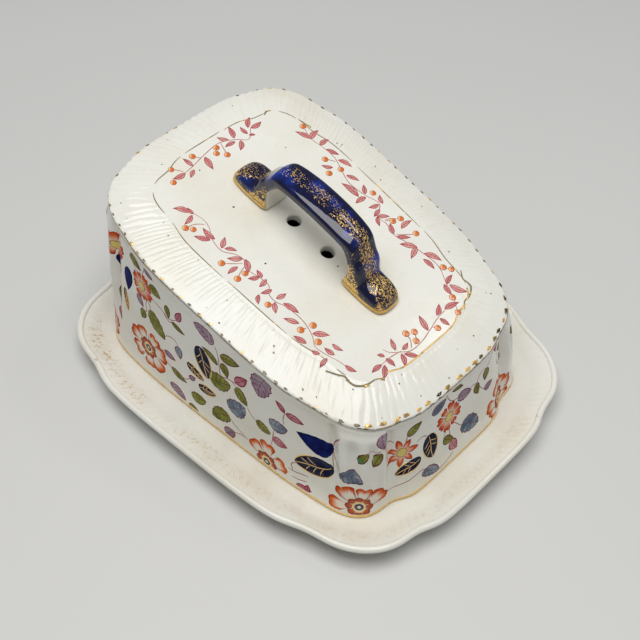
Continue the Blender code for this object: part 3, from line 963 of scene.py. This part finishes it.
PANEL_STEMS = [
    [(-61, 47.5), (-54, 45.5), (-46, 46.5), (-37, 46.5), (-28, 43), (-20, 40.5), (-10, 41.5), (-1, 43.5),
    (4, 36.5), (10, 37), (18, 35), (25, 37), (34, 38.5), (45, 39), (55, 34), (62, 31), (68, 27)],
    [(-39.5, 42), (-35, 45)], [(12.5, 45), (9, 41), (8, 38)], [(11, 41), (8, 38)],
    [(24, 44), (21, 40), (18, 36)], [(50, 42.5), (46, 39.5)],
    [(64.5, 22), (65, 16), (67.5, 6), (69, -1), (69, -9), (66, -14), (63, -18), (60, -19.5)],
    [(66, -13), (65, -20), (65, -26)], [(69, 11), (66.5, 9)], [(63, 0), (66, -2), (68, -5)],
    [(61, -4), (65, -5), (68.5, -8)], [(-57, -38.5), (-50, -36.5), (-44, -37.5), (-38, -41), (-30, -42),
    (-24, -38), (-19, -37), (-14, -39.5), (-7, -38), (-1, -37.5), (3, -41), (8, -41.5), (13, -39.5),
    (21, -38.5), (27, -39), (33, -41), (38, -44), (44, -43), (50, -41), (55, -40)],
    [(-51, -47), (-50, -42), (-47, -38)], [(-24.5, -47), (-21, -43), (-18, -39)],
    [(-13, -47), (-15, -43), (-16, -39.5)], [(7, -45.5), (9, -42)], [(27, -43), (28, -40)],
    [(-79, 24), (-74, 18), (-78, 12), (-81.5, 3), (-80, -9), (-78, -18), (-77, -25)],
    [(-73, 1.5), (-78, 3), (-81, 4)], [(-83, -14), (-79.5, -11)], [(-83, -28), (-78, -24)]]
BLUE_SPECKS = [((-46, -19), 0.55), ((-11, -30), 0.5), ((-74, -17), 0.4), ((-58, 30), 0.35)]


def paint_panel():
    panel = Panel()
    leaves, berries, stems, specks = (Coat() for _ in range(4))
    rng = np.random.default_rng(4)
    for bx, by, tx, ty in PANEL_LEAVES:
        width = min(3.5, 1.1 + 0.24 * math.hypot(tx - bx, ty - by)) * rng.uniform(0.9, 1.1)
        leaves.leaf(panel, (bx, by), (tx, ty), width, rng.uniform(), bend=rng.uniform(-0.1, 0.1),
                    lift=0.09, heel=0.85, point=1.15)
    for spot in PANEL_BERRIES:
        berries.disc(panel, spot, 1.75 * rng.uniform(0.94, 1.06), 0.16, rng.uniform(), 22, 4, wobble=0.03)
    for line in PANEL_STEMS:
        stems.ribbon(panel, line, 0.45, 0.06, rng.uniform(), taper=0.3)
    for spot, radius in BLUE_SPECKS:
        specks.disc(panel, spot, radius, 0.05, radius, 12, 2, wobble=0.15)
    specks.build("panel_blue_specks", line_enamel("speck_blue", (0.01, 0.012, 0.05), (0.02, 0.02, 0.03)))
    leaves.build("panel_leaves", leaf_enamel("panel_leaf_pink", (0.60, 0.24, 0.23), (0.72, 0.40, 0.36),
                                             (0.32, 0.035, 0.05), vein=0.6, outline_width=0.34, hatch=0.15))
    berries.build("panel_berries", berry_enamel())
    stems.build("panel_stems", line_enamel("panel_stem_crimson", (0.36, 0.09, 0.08), (0.55, 0.25, 0.20)))


# The line round the panel, as stretches in degrees from the low end, its corner scrolls and strokes.
GOLD_SPANS = [(-31, 36), (38, 44)]
BROWN_SPANS = [
    (46, 68), (70, 103), (106, 128), (131, 138), (143, 168), (171, 196), (199, 219), (223, 232), (236, 262),
    (264, 291), (293, 306), (309, 312)]
SCROLLS = [
    [(50, -49.2), (55, -46.5), (58, -44.4), (61, -44.8), (64, -44.2), (66.6, -41.8), (68, -38), (68.6, -34),
    (70.5, -31)], [(54, 46.5), (58, 43.4), (61, 43.6), (64, 43), (67, 38), (67.4, 34), (69.5, 31)],
    [(-68, 49.5), (-64, 50.2), (-60, 51)], [(-81.5, 41.5), (-82.6, 39), (-81.2, 36.5)]]
STROKES = [
    [(59.6, -44.9), (61.0, -44.6)], [(67.6, -41.0), (68.4, -38.6)], [(69.8, -32.0), (71.2, -30.4)],
    [(69.2, 31.2), (70.2, 29.6)], [(-61.8, 50.9), (-60.0, 51.0)]]


def gild_panel():
    """The line round the panel: strong gold on the low end, rubbed to a thin brown line elsewhere."""
    panel = Panel()
    gold, brown = Coat(), Coat()

    def edge_line(first, last, count, inset):
        return np.stack(outline(PANEL, np.radians(np.linspace(first, last, count)), inset), -1)

    for first, last in GOLD_SPANS:
        gold.ribbon(panel, edge_line(first, last, 30, 1.1), 0.85, 0.09, 0.2)
    for number, (first, last) in enumerate(BROWN_SPANS):
        line = edge_line(first, last, 24, 0.7 + 0.2 * math.sin(number * 2.1))
        brown.ribbon(panel, line, 0.62, 0.05, 0.1 * number, taper=0.6)
    for line in SCROLLS:
        brown.ribbon(panel, line, 0.9, 0.08, 0.5, taper=0.5)
    for stroke in STROKES:
        gold.ribbon(panel, stroke, 1.3, 0.06, stroke[0][0])
    gold.build("panel_gold_line", gilding("panel_gold", 0.42))
    brown.build("panel_worn_line", gilding("panel_worn_gold", 0.60, base=(0.22, 0.17, 0.08)))


# ---------------------------------------------------------------- painting on the walls

# Places on the wall are (along, height): along is measured from the low corner, negative on the
# long side and positive on the low end. Beyond about -160 they are on the tall corner and tall end.
# Leaves are (base along, base height, tip along, tip height, width).
LEAF_GROUPS = [
    ("olive", [(-156, 89, -143.5, 86, 7), (-137, 81.5, -127.5, 78, 7), (-123, 77, -122, 68, 4.5),
        (-120, 67.5, -110, 64.5, 4), (-143, 59, -146.5, 51, 6), (-138, 63, -126.5, 49, 11),
        (-123, 31, -111, 27.5, 5.5), (-108, 20, -97, 24, 9), (-111, 11, -103, 10, 5),
        (-84, 68, -70, 71.5, 7), (-86, 60.5, -97.5, 66, 5), (-82, 65, -79.5, 56, 6.5),
        (-73, 54.5, -66, 45.5, 8.5), (-93, 46, -77.5, 52, 13), (-60, 39.5, -50, 37, 7.5),
        (-79.5, 27, -92.5, 17.5, 11), (7, 54, 2, 47, 5.5), (14, 53, 9.5, 42, 5), (30, 53, 40, 58.5, 6),
        (56, 32, 64, 25, 6.5), (63, 62, 72.5, 58.5, 4), (83.5, 51, 85, 42, 5.5), (93, 55, 91, 47, 6),
        (109, 58, 112, 52, 5), (111, 48, 114, 42, 4.5)]),
    ("mauve", [(-140, 91, -133, 87, 5), (-150, 66, -144, 60, 6), (-128, 40, -119, 38.5, 5),
        (-109, 33, -104, 37, 4), (-88, 74, -102.5, 79.5, 10), (-52, 75.5, -57.5, 59.5, 15),
        (67.5, 53, 79, 50, 8), (15, 64, 16.5, 54.5, 7), (90, 41, 98.5, 41, 5.5),
        (-125, 17, -113, 11.5, 7.5), (-83, 10.5, -76, 17, 8)]),
    ("slate", [(-116, 52, -115, 43, 6), (-80, 34, -67.5, 43, 13), (-51, 46, -38.5, 48, 9.5),
        (-8, 38, 4, 33.5, 10.5), (47, 57, 59, 60, 7), (39, 20, 52, 11.5, 8), (70.5, 30, 84.5, 20, 13)]),
    ("pink", [(-116, 71, -112, 79, 5), (-74, 57, -65, 65.5, 6.5), (-40, 59.5, -46, 65, 4),
        (-39.5, 59.5, -28, 58, 5), (-49, 35, -39, 34.5, 6.5), (-34, 11, -24, 12.5, 4),
        (62, 25.5, 66.5, 15.5, 7), (104, 64, 105, 56, 5.5), (-27.5, 10.5, -26.5, 16, 4)]),
    ("cobalt", [(-158, 78, -159.5, 61, 8.5), (-10.5, 49.5, -33, 51, 12.5)])]
TALL_LEAVES = [
    ("olive", -168.5, 57, -168, 42, 4.5), ("cobalt", -170.5, 78, -167.5, 66, 5.5),
    ("olive", -190, 92, -183, 96, 5), ("mauve", -196, 78, -203, 86, 8), ("slate", -200, 58, -211, 50, 10),
    ("olive", -190, 48, -196, 38, 7), ("pink", -184, 50, -178, 44, 5), ("olive", -215, 66, -205, 71, 7),
    ("cobalt", -207, 30, -199, 18, 9), ("pink", -169.5, 40, -167.5, 31, 4), ("pink", -224, 52, -230, 60, 5),
    ("slate", -228, 84, -218, 90, 9), ("olive", -246, 96, -236, 92, 6), ("mauve", -240, 72, -233, 64, 8),
    ("olive", -252, 60, -244, 52, 8), ("olive", -236, 22, -246, 15, 7), ("pink", -262, 88, -255, 92, 5),
    ("slate", -268, 40, -256, 34, 10), ("olive", -270, 66, -262, 72, 6), ("mauve", -262, 16, -254, 22, 7)]
LEAVES = [(kind, *leaf) for kind, group in LEAF_GROUPS for leaf in group] + TALL_LEAVES
GILT_LEAVES = [
    (-99.5, 64.5, -94.5, 44, 11.5), (-110, 44.5, -97.5, 40, 6.5), (-102, 32.5, -89, 35.5, 6.5),
    (-11, 37, -34.5, 28.5, 12.5), (44.5, 44.5, 47, 26, 11), (38.5, 32.5, 22, 28, 8.5),
    (-163, 60, -160, 45, 4), (-236, 52, -222, 44, 9), (-250, 84, -246, 68, 9), (-222, 32, -211, 22, 8)]
GILT_HEEL, GILT_POINT = 0.45, 0.6
# (along, height, radius, turn)
BIG_FLOWERS = [
    (-142, 31, 15.5, 0.2), (-53.5, 12.8, 15.5, 0.55), (1.5, 15.5, 16.0, 0.42), (107, 18, 15.0, 0.1),
    (-182.5, 21, 13.5, 0.3), (-270, 20, 15.0, 0.6)]
# (along, height, radius, whether its petals are pointed)
SMALL_FLOWERS = [
    (-144, 75.5, 10.0, False), (26.5, 43, 10.5, True), (60.5, 45, 10.0, False), (-171.5, 83, 9.0, False),
    (-216, 80, 10.0, False), (-262, 56, 9.5, True), (-234, 36, 9.0, False)]
STEMS = [
    [(-135, 73), (-128, 71), (-122, 68), (-116, 71)], [(-137, 72), (-141, 66), (-141, 60), (-145, 56)],
    [(-139, 69), (-137.5, 65.5), (-137, 62)], [(-87.5, 73), (-85.5, 67), (-85, 58), (-84, 51)],
    [(-84, 53.5), (-80, 55.5), (-75, 56.3), (-71, 57)], [(-80, 56), (-81, 60)], [(-76, 56), (-73.5, 54.5)],
    [(-40, 59.5), (-41.2, 55), (-41, 51)], [(-80, 26), (-74, 22), (-68, 20)],
    [(-76, 17), (-71, 19), (-66, 19)], [(-7, 62), (-9.5, 56), (-11, 50), (-10, 44), (-7.5, 40)],
    [(-11, 50), (-11.3, 43), (-11, 37)], [(17, 19.5), (22, 19.2), (28, 19.8), (38, 22.5), (43, 20)],
    [(58, 64), (61, 57), (64, 54), (68, 53)], [(30, 53), (29.5, 50.5), (28.5, 48)],
    [(15, 54.5), (19, 54), (22, 52)], [(7, 54), (11, 53), (14, 54.5)], [(-150, 66), (-146, 68), (-142, 70)],
    [(-156, 88), (-150, 84), (-146, 82)], [(-140, 90), (-142, 86), (-143, 83)],
    [(-137, 81), (-140, 79), (-142, 78)], [(-122, 68), (-122.5, 72), (-123, 77)],
    [(-120, 67), (-122, 66), (-126, 69)], [(-116, 52), (-119, 55), (-124, 54), (-127, 51)],
    [(-128, 40), (-133, 37), (-135, 35)], [(-109, 33), (-112, 30), (-118, 30), (-123, 31), (-128, 33)],
    [(-36, 20), (-36.5, 25), (-33, 28)], [(-39, 20), (-35, 20), (-30, 21.5), (-26, 22.5)],
    [(-37, 15), (-32, 16), (-27, 18)], [(-47.5, 42), (-48.5, 37), (-49, 33), (-50, 29)],
    [(-60, 39), (-64, 42), (-66, 45)], [(44.5, 44), (40, 47), (36, 46)], [(56, 32), (57.5, 36), (59, 39)],
    [(70, 30), (67, 34), (64, 38)], [(83.5, 51), (80, 52), (78, 50.5)],
    [(90, 41), (87, 45), (84, 51), (88, 56), (93, 55)], [(62.5, 26), (61, 31), (60.5, 36)],
    [(8, 24), (9, 22), (14, 20), (18, 19.5)], [(52, 11.5), (58, 12.5), (64, 15)],
    [(93, 55), (98, 59), (104, 63)], [(109, 58), (106, 52), (107, 45), (111, 42)],
    [(-180, 72), (-186, 70), (-192, 74), (-196, 78)], [(-186, 52), (-188, 46), (-193, 44), (-200, 56)],
    [(-215, 66), (-216, 60), (-222, 54), (-224, 52)], [(-226, 84), (-220, 84)],
    [(-246, 94), (-252, 88), (-260, 88)], [(-240, 70), (-236, 76), (-228, 80)],
    [(-252, 58), (-248, 62), (-242, 70)], [(-222, 33), (-217, 38), (-212, 40)],
    [(-246, 16), (-252, 18), (-256, 22)], [(-256, 36), (-250, 40), (-243, 38)],
    [(-206, 31), (-201, 38), (-196, 38)]]
# nothing is painted lower on the wall than this
LEAF_FLOOR, PETAL_FLOOR, HEART_FLOOR = 10.4, 10.6, 10.0

# fill, second tone, outline, strength of the veins and of the hatching
LEAF_PAINTS = {
    "olive": ((0.17, 0.20, 0.035), (0.31, 0.34, 0.09), (0.12, 0.025, 0.02), 0.55, 0.2),
    "mauve": ((0.30, 0.22, 0.28), (0.42, 0.37, 0.42), (0.20, 0.02, 0.065), 0.6, 0.25),
    "slate": ((0.10, 0.17, 0.24), (0.30, 0.39, 0.43), (0.16, 0.025, 0.07), 0.55, 0.25),
    "pink": ((0.50, 0.15, 0.20), (0.64, 0.33, 0.36), (0.22, 0.01, 0.035), 0.55, 0.25),
    "cobalt": ((0.006, 0.010, 0.085), (0.010, 0.024, 0.16), (0.006, 0.006, 0.020), 0.4, 0.2)}


PETALS, HEART_LOBES = 7, 8


def paint_big_flower(coats, wall, centre, radius, turn, seed):
    """Seven washed petals, a scalloped rust heart, a gold ring and a dark eye."""
    def around(angle, reach, reach_up=None):
        return centre[0] + reach * math.cos(angle), centre[1] + (reach_up or reach) * math.sin(angle)

    for number in range(PETALS):
        middle = turn + 2 * math.pi * number / PETALS + 0.09 * math.sin(number * 2.3 + seed * 9)
        length = radius * (0.98 + 0.07 * math.sin(number * 4.1 + seed * 7))
        spread = math.pi / PETALS * (0.94 + 0.09 * math.sin(number * 3.3 + seed * 5))
        coats["wall_flower_petals"].petal(wall, centre, radius * 0.40, length, middle, spread,
                                          seed + 0.1 * number, PETAL_FLOOR,
                                          notch=0.07 + 0.05 * math.sin(number * 1.9))
        vein = [around(middle + math.pi / PETALS, share * radius) for share in (0.45, 0.6, 0.74)]
        if min(height for _, height in vein) > PETAL_FLOOR:
            coats["wall_stems"].ribbon(wall, vein, 0.35, 0.05, seed)
    heart = min(radius * 0.44, centre[1] - PETAL_FLOOR + radius * 0.30)
    for number in range(HEART_LOBES):
        middle = turn + 0.3 + 2 * math.pi * number / HEART_LOBES
        coats["wall_flower_hearts"].petal(wall, centre, radius * 0.20, heart, middle,
                                          math.pi / HEART_LOBES * 1.02, seed + 0.07 * number,
                                          HEART_FLOOR, notch=-0.05, lift=0.13)
    ring = [around(angle, radius * 0.20, radius * 0.23) for angle in np.linspace(0, 2 * math.pi, 17)[:-1]]
    coats["wall_gilding"].ribbon(wall, ring, 0.75, 0.24, seed, closed=True)
    coats["wall_flower_eyes"].disc(wall, centre, radius * 0.15, 0.12, seed, 20, 3)
    coats["wall_flower_pearls"].disc(wall, centre, radius * 0.065, 0.22, seed, 14, 2)


def paint_small_flower(coats, wall, centre, radius, pointed, seed):
    """Red flower with a yellow heart; its petals are round or pointed."""
    count = 7 if pointed else 8
    for number in range(count):
        coats["wall_small_flower_petals"].petal(
            wall, centre, radius * 0.30, radius * (1.0 - 0.1 * (number % 2)),
            seed * 5 + 2 * math.pi * number / count, math.pi / count * 0.92, seed + 0.1 * number, PETAL_FLOOR,
            notch=0.0 if pointed else 0.12, pointed=0.42 if pointed else 0.0, lift=0.11)
    coats["wall_small_flower_hearts"].disc(wall, centre, radius * 0.31, 0.20, seed, 24, 4, wobble=0.05)


def gild_leaf(gold, wall, base, tip, width, seed):
    """Gold outline, midrib and side veins over a dark leaf."""
    base, along, across, length = heading(base, tip)
    widest = GILT_HEEL / (GILT_HEEL + GILT_POINT)
    peak = widest ** GILT_HEEL * (1 - widest) ** GILT_POINT

    def spot(u, v):
        profile = u ** GILT_HEEL * (1 - u) ** GILT_POINT / peak
        return base + along * length * u + across * (v * width / 2 * profile)

    def draw(places, line_width, lift, number, taper):
        line = [spot(u, v) for u, v in places]
        gold.ribbon(wall, line, line_width, lift, seed + number, taper=taper)

    draw([(u, 1.0) for u in (0.10, 0.25, 0.42, 0.60, 0.78, 0.92, 0.985)], 0.68, 0.20, 0.0, 0.5)
    draw([(u, -1.0) for u in (0.985, 0.9, 0.75, 0.55, 0.40)], 0.68, 0.20, 0.1, 0.5)
    draw([(0.06, 0), (0.35, 0.06), (0.65, -0.04), (0.97, 0)], 0.6, 0.22, 0.2, 0.4)
    for number, u in enumerate((0.24, 0.42, 0.60)):
        for side in (-1, 1):
            if (number + side + int(seed * 10)) % 5:
                draw([(u, 0.1 * side), (u + 0.10, 0.45 * side), (u + 0.16, 0.80 * side)], 0.5, 0.19, u, 0.7)


def paint_wall(coats, wall, rng, first, last):
    """Everything that is painted between two places along one half of the walls."""
    def inside(place, margin=0):
        return first < place < last - margin

    for kind, ba, bz, ta, tz, width in LEAVES:
        if inside((ba + ta) / 2):
            broad, dark = width > 7, kind == "cobalt"
            coats[f"wall_leaves_{kind}"].leaf(
                wall, (ba, bz), (ta, tz), width, rng.uniform(), ragged=0.16 if broad and not dark else 0.05,
                bend=rng.uniform(-0.09, 0.09), heel=0.50 if broad else 0.62,
                point=0.72 if broad and not dark else 0.95, low_limit=LEAF_FLOOR)
    for ba, bz, ta, tz, width in GILT_LEAVES:
        if inside((ba + ta) / 2):
            seed = rng.uniform()
            coats["wall_leaves_gilt_ground"].leaf(wall, (ba, bz), (ta, tz), width, seed, heel=GILT_HEEL,
                                                  point=GILT_POINT, low_limit=LEAF_FLOOR)
            gild_leaf(coats["wall_gilding"], wall, (ba, bz), (ta, tz), width, seed)
    for along, height, radius, turn in BIG_FLOWERS:
        if inside(along, 8):
            paint_big_flower(coats, wall, (along, height), radius, turn, rng.uniform())
    for along, height, radius, pointed in SMALL_FLOWERS:
        if inside(along):
            paint_small_flower(coats, wall, (along, height), radius, pointed, rng.uniform())
    for line in STEMS:
        if inside(line[0][0]):
            coats["wall_stems"].ribbon(wall, line, 0.6, 0.06, rng.uniform(), taper=0.5)


# which places are painted on the near half of the walls, and on the mirrored far half
NEAR_PLACES, FAR_PLACES = (-400, 400), (-246, 8)


def paint_walls():
    """Both halves of the walls; they meet in the middle of each end, which is painted once."""
    coats = defaultdict(Coat)
    paint_wall(coats, Wall(False), np.random.default_rng(8), *NEAR_PLACES)
    coats["wall_green_blot"].disc(Wall(False), (3.0, 49.6), 1.7, 0.18, 0.3, 18, 3, wobble=0.1)
    paint_wall(coats, Wall(True), np.random.default_rng(9), *FAR_PLACES)
    for kind, (fill, second, outline_colour, vein, hatch) in LEAF_PAINTS.items():
        coats[f"wall_leaves_{kind}"].build(f"wall_leaves_{kind}", leaf_enamel(
            f"leaf_{kind}", fill, second, outline_colour, vein=vein, hatch=hatch))
    for name, material in {
            "wall_leaves_gilt_ground": leaf_enamel("leaf_dark", (0.010, 0.012, 0.04), (0.04, 0.045, 0.08),
                                                   LEAF_PAINTS["cobalt"][2], vein=0.2, hatch=0.2),
            "wall_flower_petals": petal_enamel("petal_orange", (0.70, 0.14, 0.022), (0.38, 0.04, 0.012),
                                               (0.80, 0.74, 0.64)),
            "wall_flower_hearts": petal_enamel("heart_rust", (0.42, 0.09, 0.04), (0.20, 0.03, 0.02),
                                               (0.48, 0.15, 0.08), 0.1, 0.9),
            "wall_small_flower_petals": petal_enamel("petal_red", (0.62, 0.095, 0.022), (0.30, 0.02, 0.012),
                                                     (0.78, 0.46, 0.30), 0.15, 0.75),
            "wall_small_flower_hearts": disc_enamel("heart_yellow", (0.74, 0.58, 0.13), (0.22, 0.12, 0.03)),
            "wall_flower_eyes": disc_enamel("eye_dark", (0.03, 0.02, 0.025), (0.02, 0.015, 0.02)),
            "wall_flower_pearls": disc_enamel("eye_pale", (0.70, 0.66, 0.55), (0.5, 0.45, 0.35)),
            "wall_stems": line_enamel("stem_crimson", (0.27, 0.05, 0.06), (0.38, 0.16, 0.15)),
            "wall_gilding": gilding("wall_gold", 0.30),
            "wall_green_blot": disc_enamel("blot_green", (0.03, 0.16, 0.02), (0.05, 0.09, 0.02))}.items():
        coats[name].build(name, material)


BAND_HEIGHT, BAND_HALF, BAND_LIFT = 8.6, 0.85, 0.10


def gild_foot():
    """The gold band round the foot of the cover, with an uneven upper edge."""
    band = Coat()
    a = np.linspace(TALL_MIDDLE, LOW_MIDDLE, 520)
    rows = np.array([-1.0, -0.5, 0.0, 0.5, 1.0])
    uneven = 0.35 * np.sin(a * 0.21) + 0.2 * np.sin(a * 0.57 + 1)
    b = BAND_HEIGHT + BAND_HALF * rows[None, :] + 0.6 * uneven[:, None] * (rows[None, :] > 0)
    height = np.broadcast_to(BAND_LIFT * (0.3 + 0.7 * (1 - rows ** 2)), b.shape)
    for mirrored in (False, True):
        band.patch(Wall(mirrored), np.broadcast_to(a[:, None], b.shape), b, height, a / 100, rows, 0.5)
    return band


CORNER_PLACE, CORNER_CLEAR = (84, 61), 13


def gild_rim():
    """The dabs along the rim, dark and gold, the specks on the border, the worn gold line round the edge and
    a dark line painted as the shadow under its overhang.
    """
    line, dabs, dark, gilt = (Coat() for _ in range(4))
    rng = np.random.default_rng(21)
    border, rim = Border(), Rim()
    total = rim_length[-1]
    position = 2.0
    while position < total - 4:
        x = rim.sample(position, 0.5)[0][0]
        low_end = float(smooth(66, 88, x))
        size = rng.uniform(0.55, 0.85) + rng.uniform(0.35, 0.75) * low_end
        coat = dabs if rng.uniform() < 0.25 + 0.5 * low_end else dark
        if x > -84 or rng.uniform() < 0.5:
            spot = (position, rng.uniform(0.015, 0.03) + 0.03 * low_end)
            coat.disc(border, spot, size, 0.08, rng.uniform(), 14, 3, wobble=0.3, stretch=(1.5, 0.034))
        if rng.uniform() < 0.7:
            dark.disc(rim, (position + rng.uniform(-1.2, 1.6), rng.uniform(0.55, 0.68)), size, 0.09,
                      rng.uniform(), 12, 2, wobble=0.3, stretch=(1.5, 0.12))
        position += rng.uniform(5.0, 8.6)
    for _ in range(34):
        spot = (rng.uniform(0, total), rng.uniform(0.12, 0.95))
        size = rng.uniform(0.25, 0.6)
        dark.disc(border, spot, size, 0.05, rng.uniform(), 10, 2, wobble=0.2, stretch=(1.0, 0.045))
    position = 0.0
    while position < total - 6:
        finish = min(position + rng.uniform(12, 40), total - 1.0)
        a = np.linspace(position, finish, max(8, int((finish - position) / 1.1)))
        at = rim.sample(a, 0.5)[0]
        # the dark line, painted shadow under the rim's overhang, stops short of the corners
        away = (np.abs(np.abs(at[:, 0] - COVER_RIM.centre_x) - CORNER_PLACE[0])
                + np.abs(np.abs(at[:, 1]) - CORNER_PLACE[1]))
        clear = np.flatnonzero(away > CORNER_CLEAR)
        for run in np.split(clear, np.flatnonzero(np.diff(clear) > 1) + 1):
            if len(run) > 6:
                path = np.stack([a[run], 0.44 + 0.02 * np.sin(a[run] * 0.3)], -1)
                line.ribbon(rim, path, 0.20, 0.09, rng.uniform())
        if rng.uniform() < 0.6:
            gilt.ribbon(rim, np.stack([a, 0.66 + 0.03 * np.sin(a * 0.5)], -1), 0.12, 0.08, rng.uniform())
        position = finish + rng.uniform(0.6, 3.0)
    return line, dabs, dark, gilt


def gild_edges():
    line, dabs, dark, gilt = gild_rim()
    gilt.build("rim_gold_line", gilding("rim_worn_gold", 0.56, base=(0.34, 0.24, 0.11)))
    gild_foot().build("foot_gold_band", gilding("foot_gold", 0.36))
    # a dark brown line painted as the shadow under the rim's edge
    line.build("rim_shadow_line", line_enamel("rim_shadow_brown", (0.05, 0.035, 0.018), (0.20, 0.13, 0.05)))
    dabs.build("rim_gold_dabs", gilding("dab_gold", 0.45, base=(0.30, 0.17, 0.05)))
    dark.build("rim_dark_dabs", line_enamel("dab_brown", (0.06, 0.045, 0.02), (0.22, 0.15, 0.05)))


# ---------------------------------------------------------------- studio and camera

FLOOR_TURNS, FLOOR_DROP = 64, 0.05


def build_floor():
    """A wide flat pale floor just under the stand."""
    turns = np.linspace(0, 2 * np.pi, FLOOR_TURNS, endpoint=False)
    rings = [np.stack([radius * np.cos(turns), radius * np.sin(turns), np.full(FLOOR_TURNS, -FLOOR_DROP)], -1)
             for radius in (0.001, 400, 800, 1500, 2500, 4000, 6000)]
    graph = Graph("studio_floor", 0.55)
    material = graph.finish(graph.blend(graph.noise(3.0, 3), (0.60, 0.60, 0.59), (0.63, 0.63, 0.62)))
    floor = make_object("studio_floor", np.concatenate(rings),
                        loft_faces(len(rings), FLOOR_TURNS, closed_ends=False), material, {})


def area_light(name, place, size, power, colour=(1, 1, 1)):
    """A rectangular lamp that faces the dish."""
    light = bpy.data.lights.new(name, "AREA")
    light.shape = "RECTANGLE"
    light.size, light.size_y = size
    light.energy = power
    light.color = colour
    holder = bpy.data.objects.new(name, light)
    bpy.context.scene.collection.objects.link(holder)
    holder.location = place
    holder.rotation_euler = (Vector((0, 0, 0.05)) - Vector(place)).to_track_quat("-Z", "Y").to_euler()


def build_light():
    world = bpy.data.worlds.new("studio")
    bpy.context.scene.world = world
    world.use_nodes = True
    background = world.node_tree.nodes["Background"]
    background.inputs["Color"].default_value = (0.97, 0.985, 1.0, 1)
    background.inputs["Strength"].default_value = 0.24
    area_light("overhead", (0.08, -0.15, 1.40), (1.15, 0.82), 16.8, (1.0, 0.99, 0.97))
    area_light("key", (0.15, 0.59, 1.02), (0.22, 0.12), 0.62)


def build_camera():
    """Looks down on the low corner, as the dish was pictured."""
    data = bpy.data.cameras.new("camera")
    camera = bpy.data.objects.new("camera", data)
    bpy.context.scene.collection.objects.link(camera)
    azimuth, elevation, roll = math.radians(43.34), math.radians(50.34), math.radians(1.457)
    distance, target = 561.7 * MM, Vector((0, 0, 40 * MM))
    toward = Vector((math.sin(azimuth) * math.cos(elevation), -math.cos(azimuth) * math.cos(elevation),
                     math.sin(elevation)))
    right = Vector((math.cos(azimuth), math.sin(azimuth), 0))
    up = toward.cross(right)
    turned_right = right * math.cos(roll) + up * math.sin(roll)
    turned_up = up * math.cos(roll) - right * math.sin(roll)
    axes = Matrix((turned_right, turned_up, toward)).transposed().to_4x4()
    camera.matrix_world = Matrix.Translation(target + toward * distance) @ axes
    data.sensor_width, data.lens = 36, 57.62
    data.shift_x, data.shift_y = -0.0025, -0.0114
    data.clip_start, data.clip_end = 0.01, 50
    bpy.context.scene.camera = camera


build_stand_body()
build_cover_body()
build_handle_body()
paint_panel()
gild_panel()
paint_walls()
gild_edges()
build_floor()
build_light()
build_camera()
bpy.context.scene.view_settings.view_transform = "Standard"
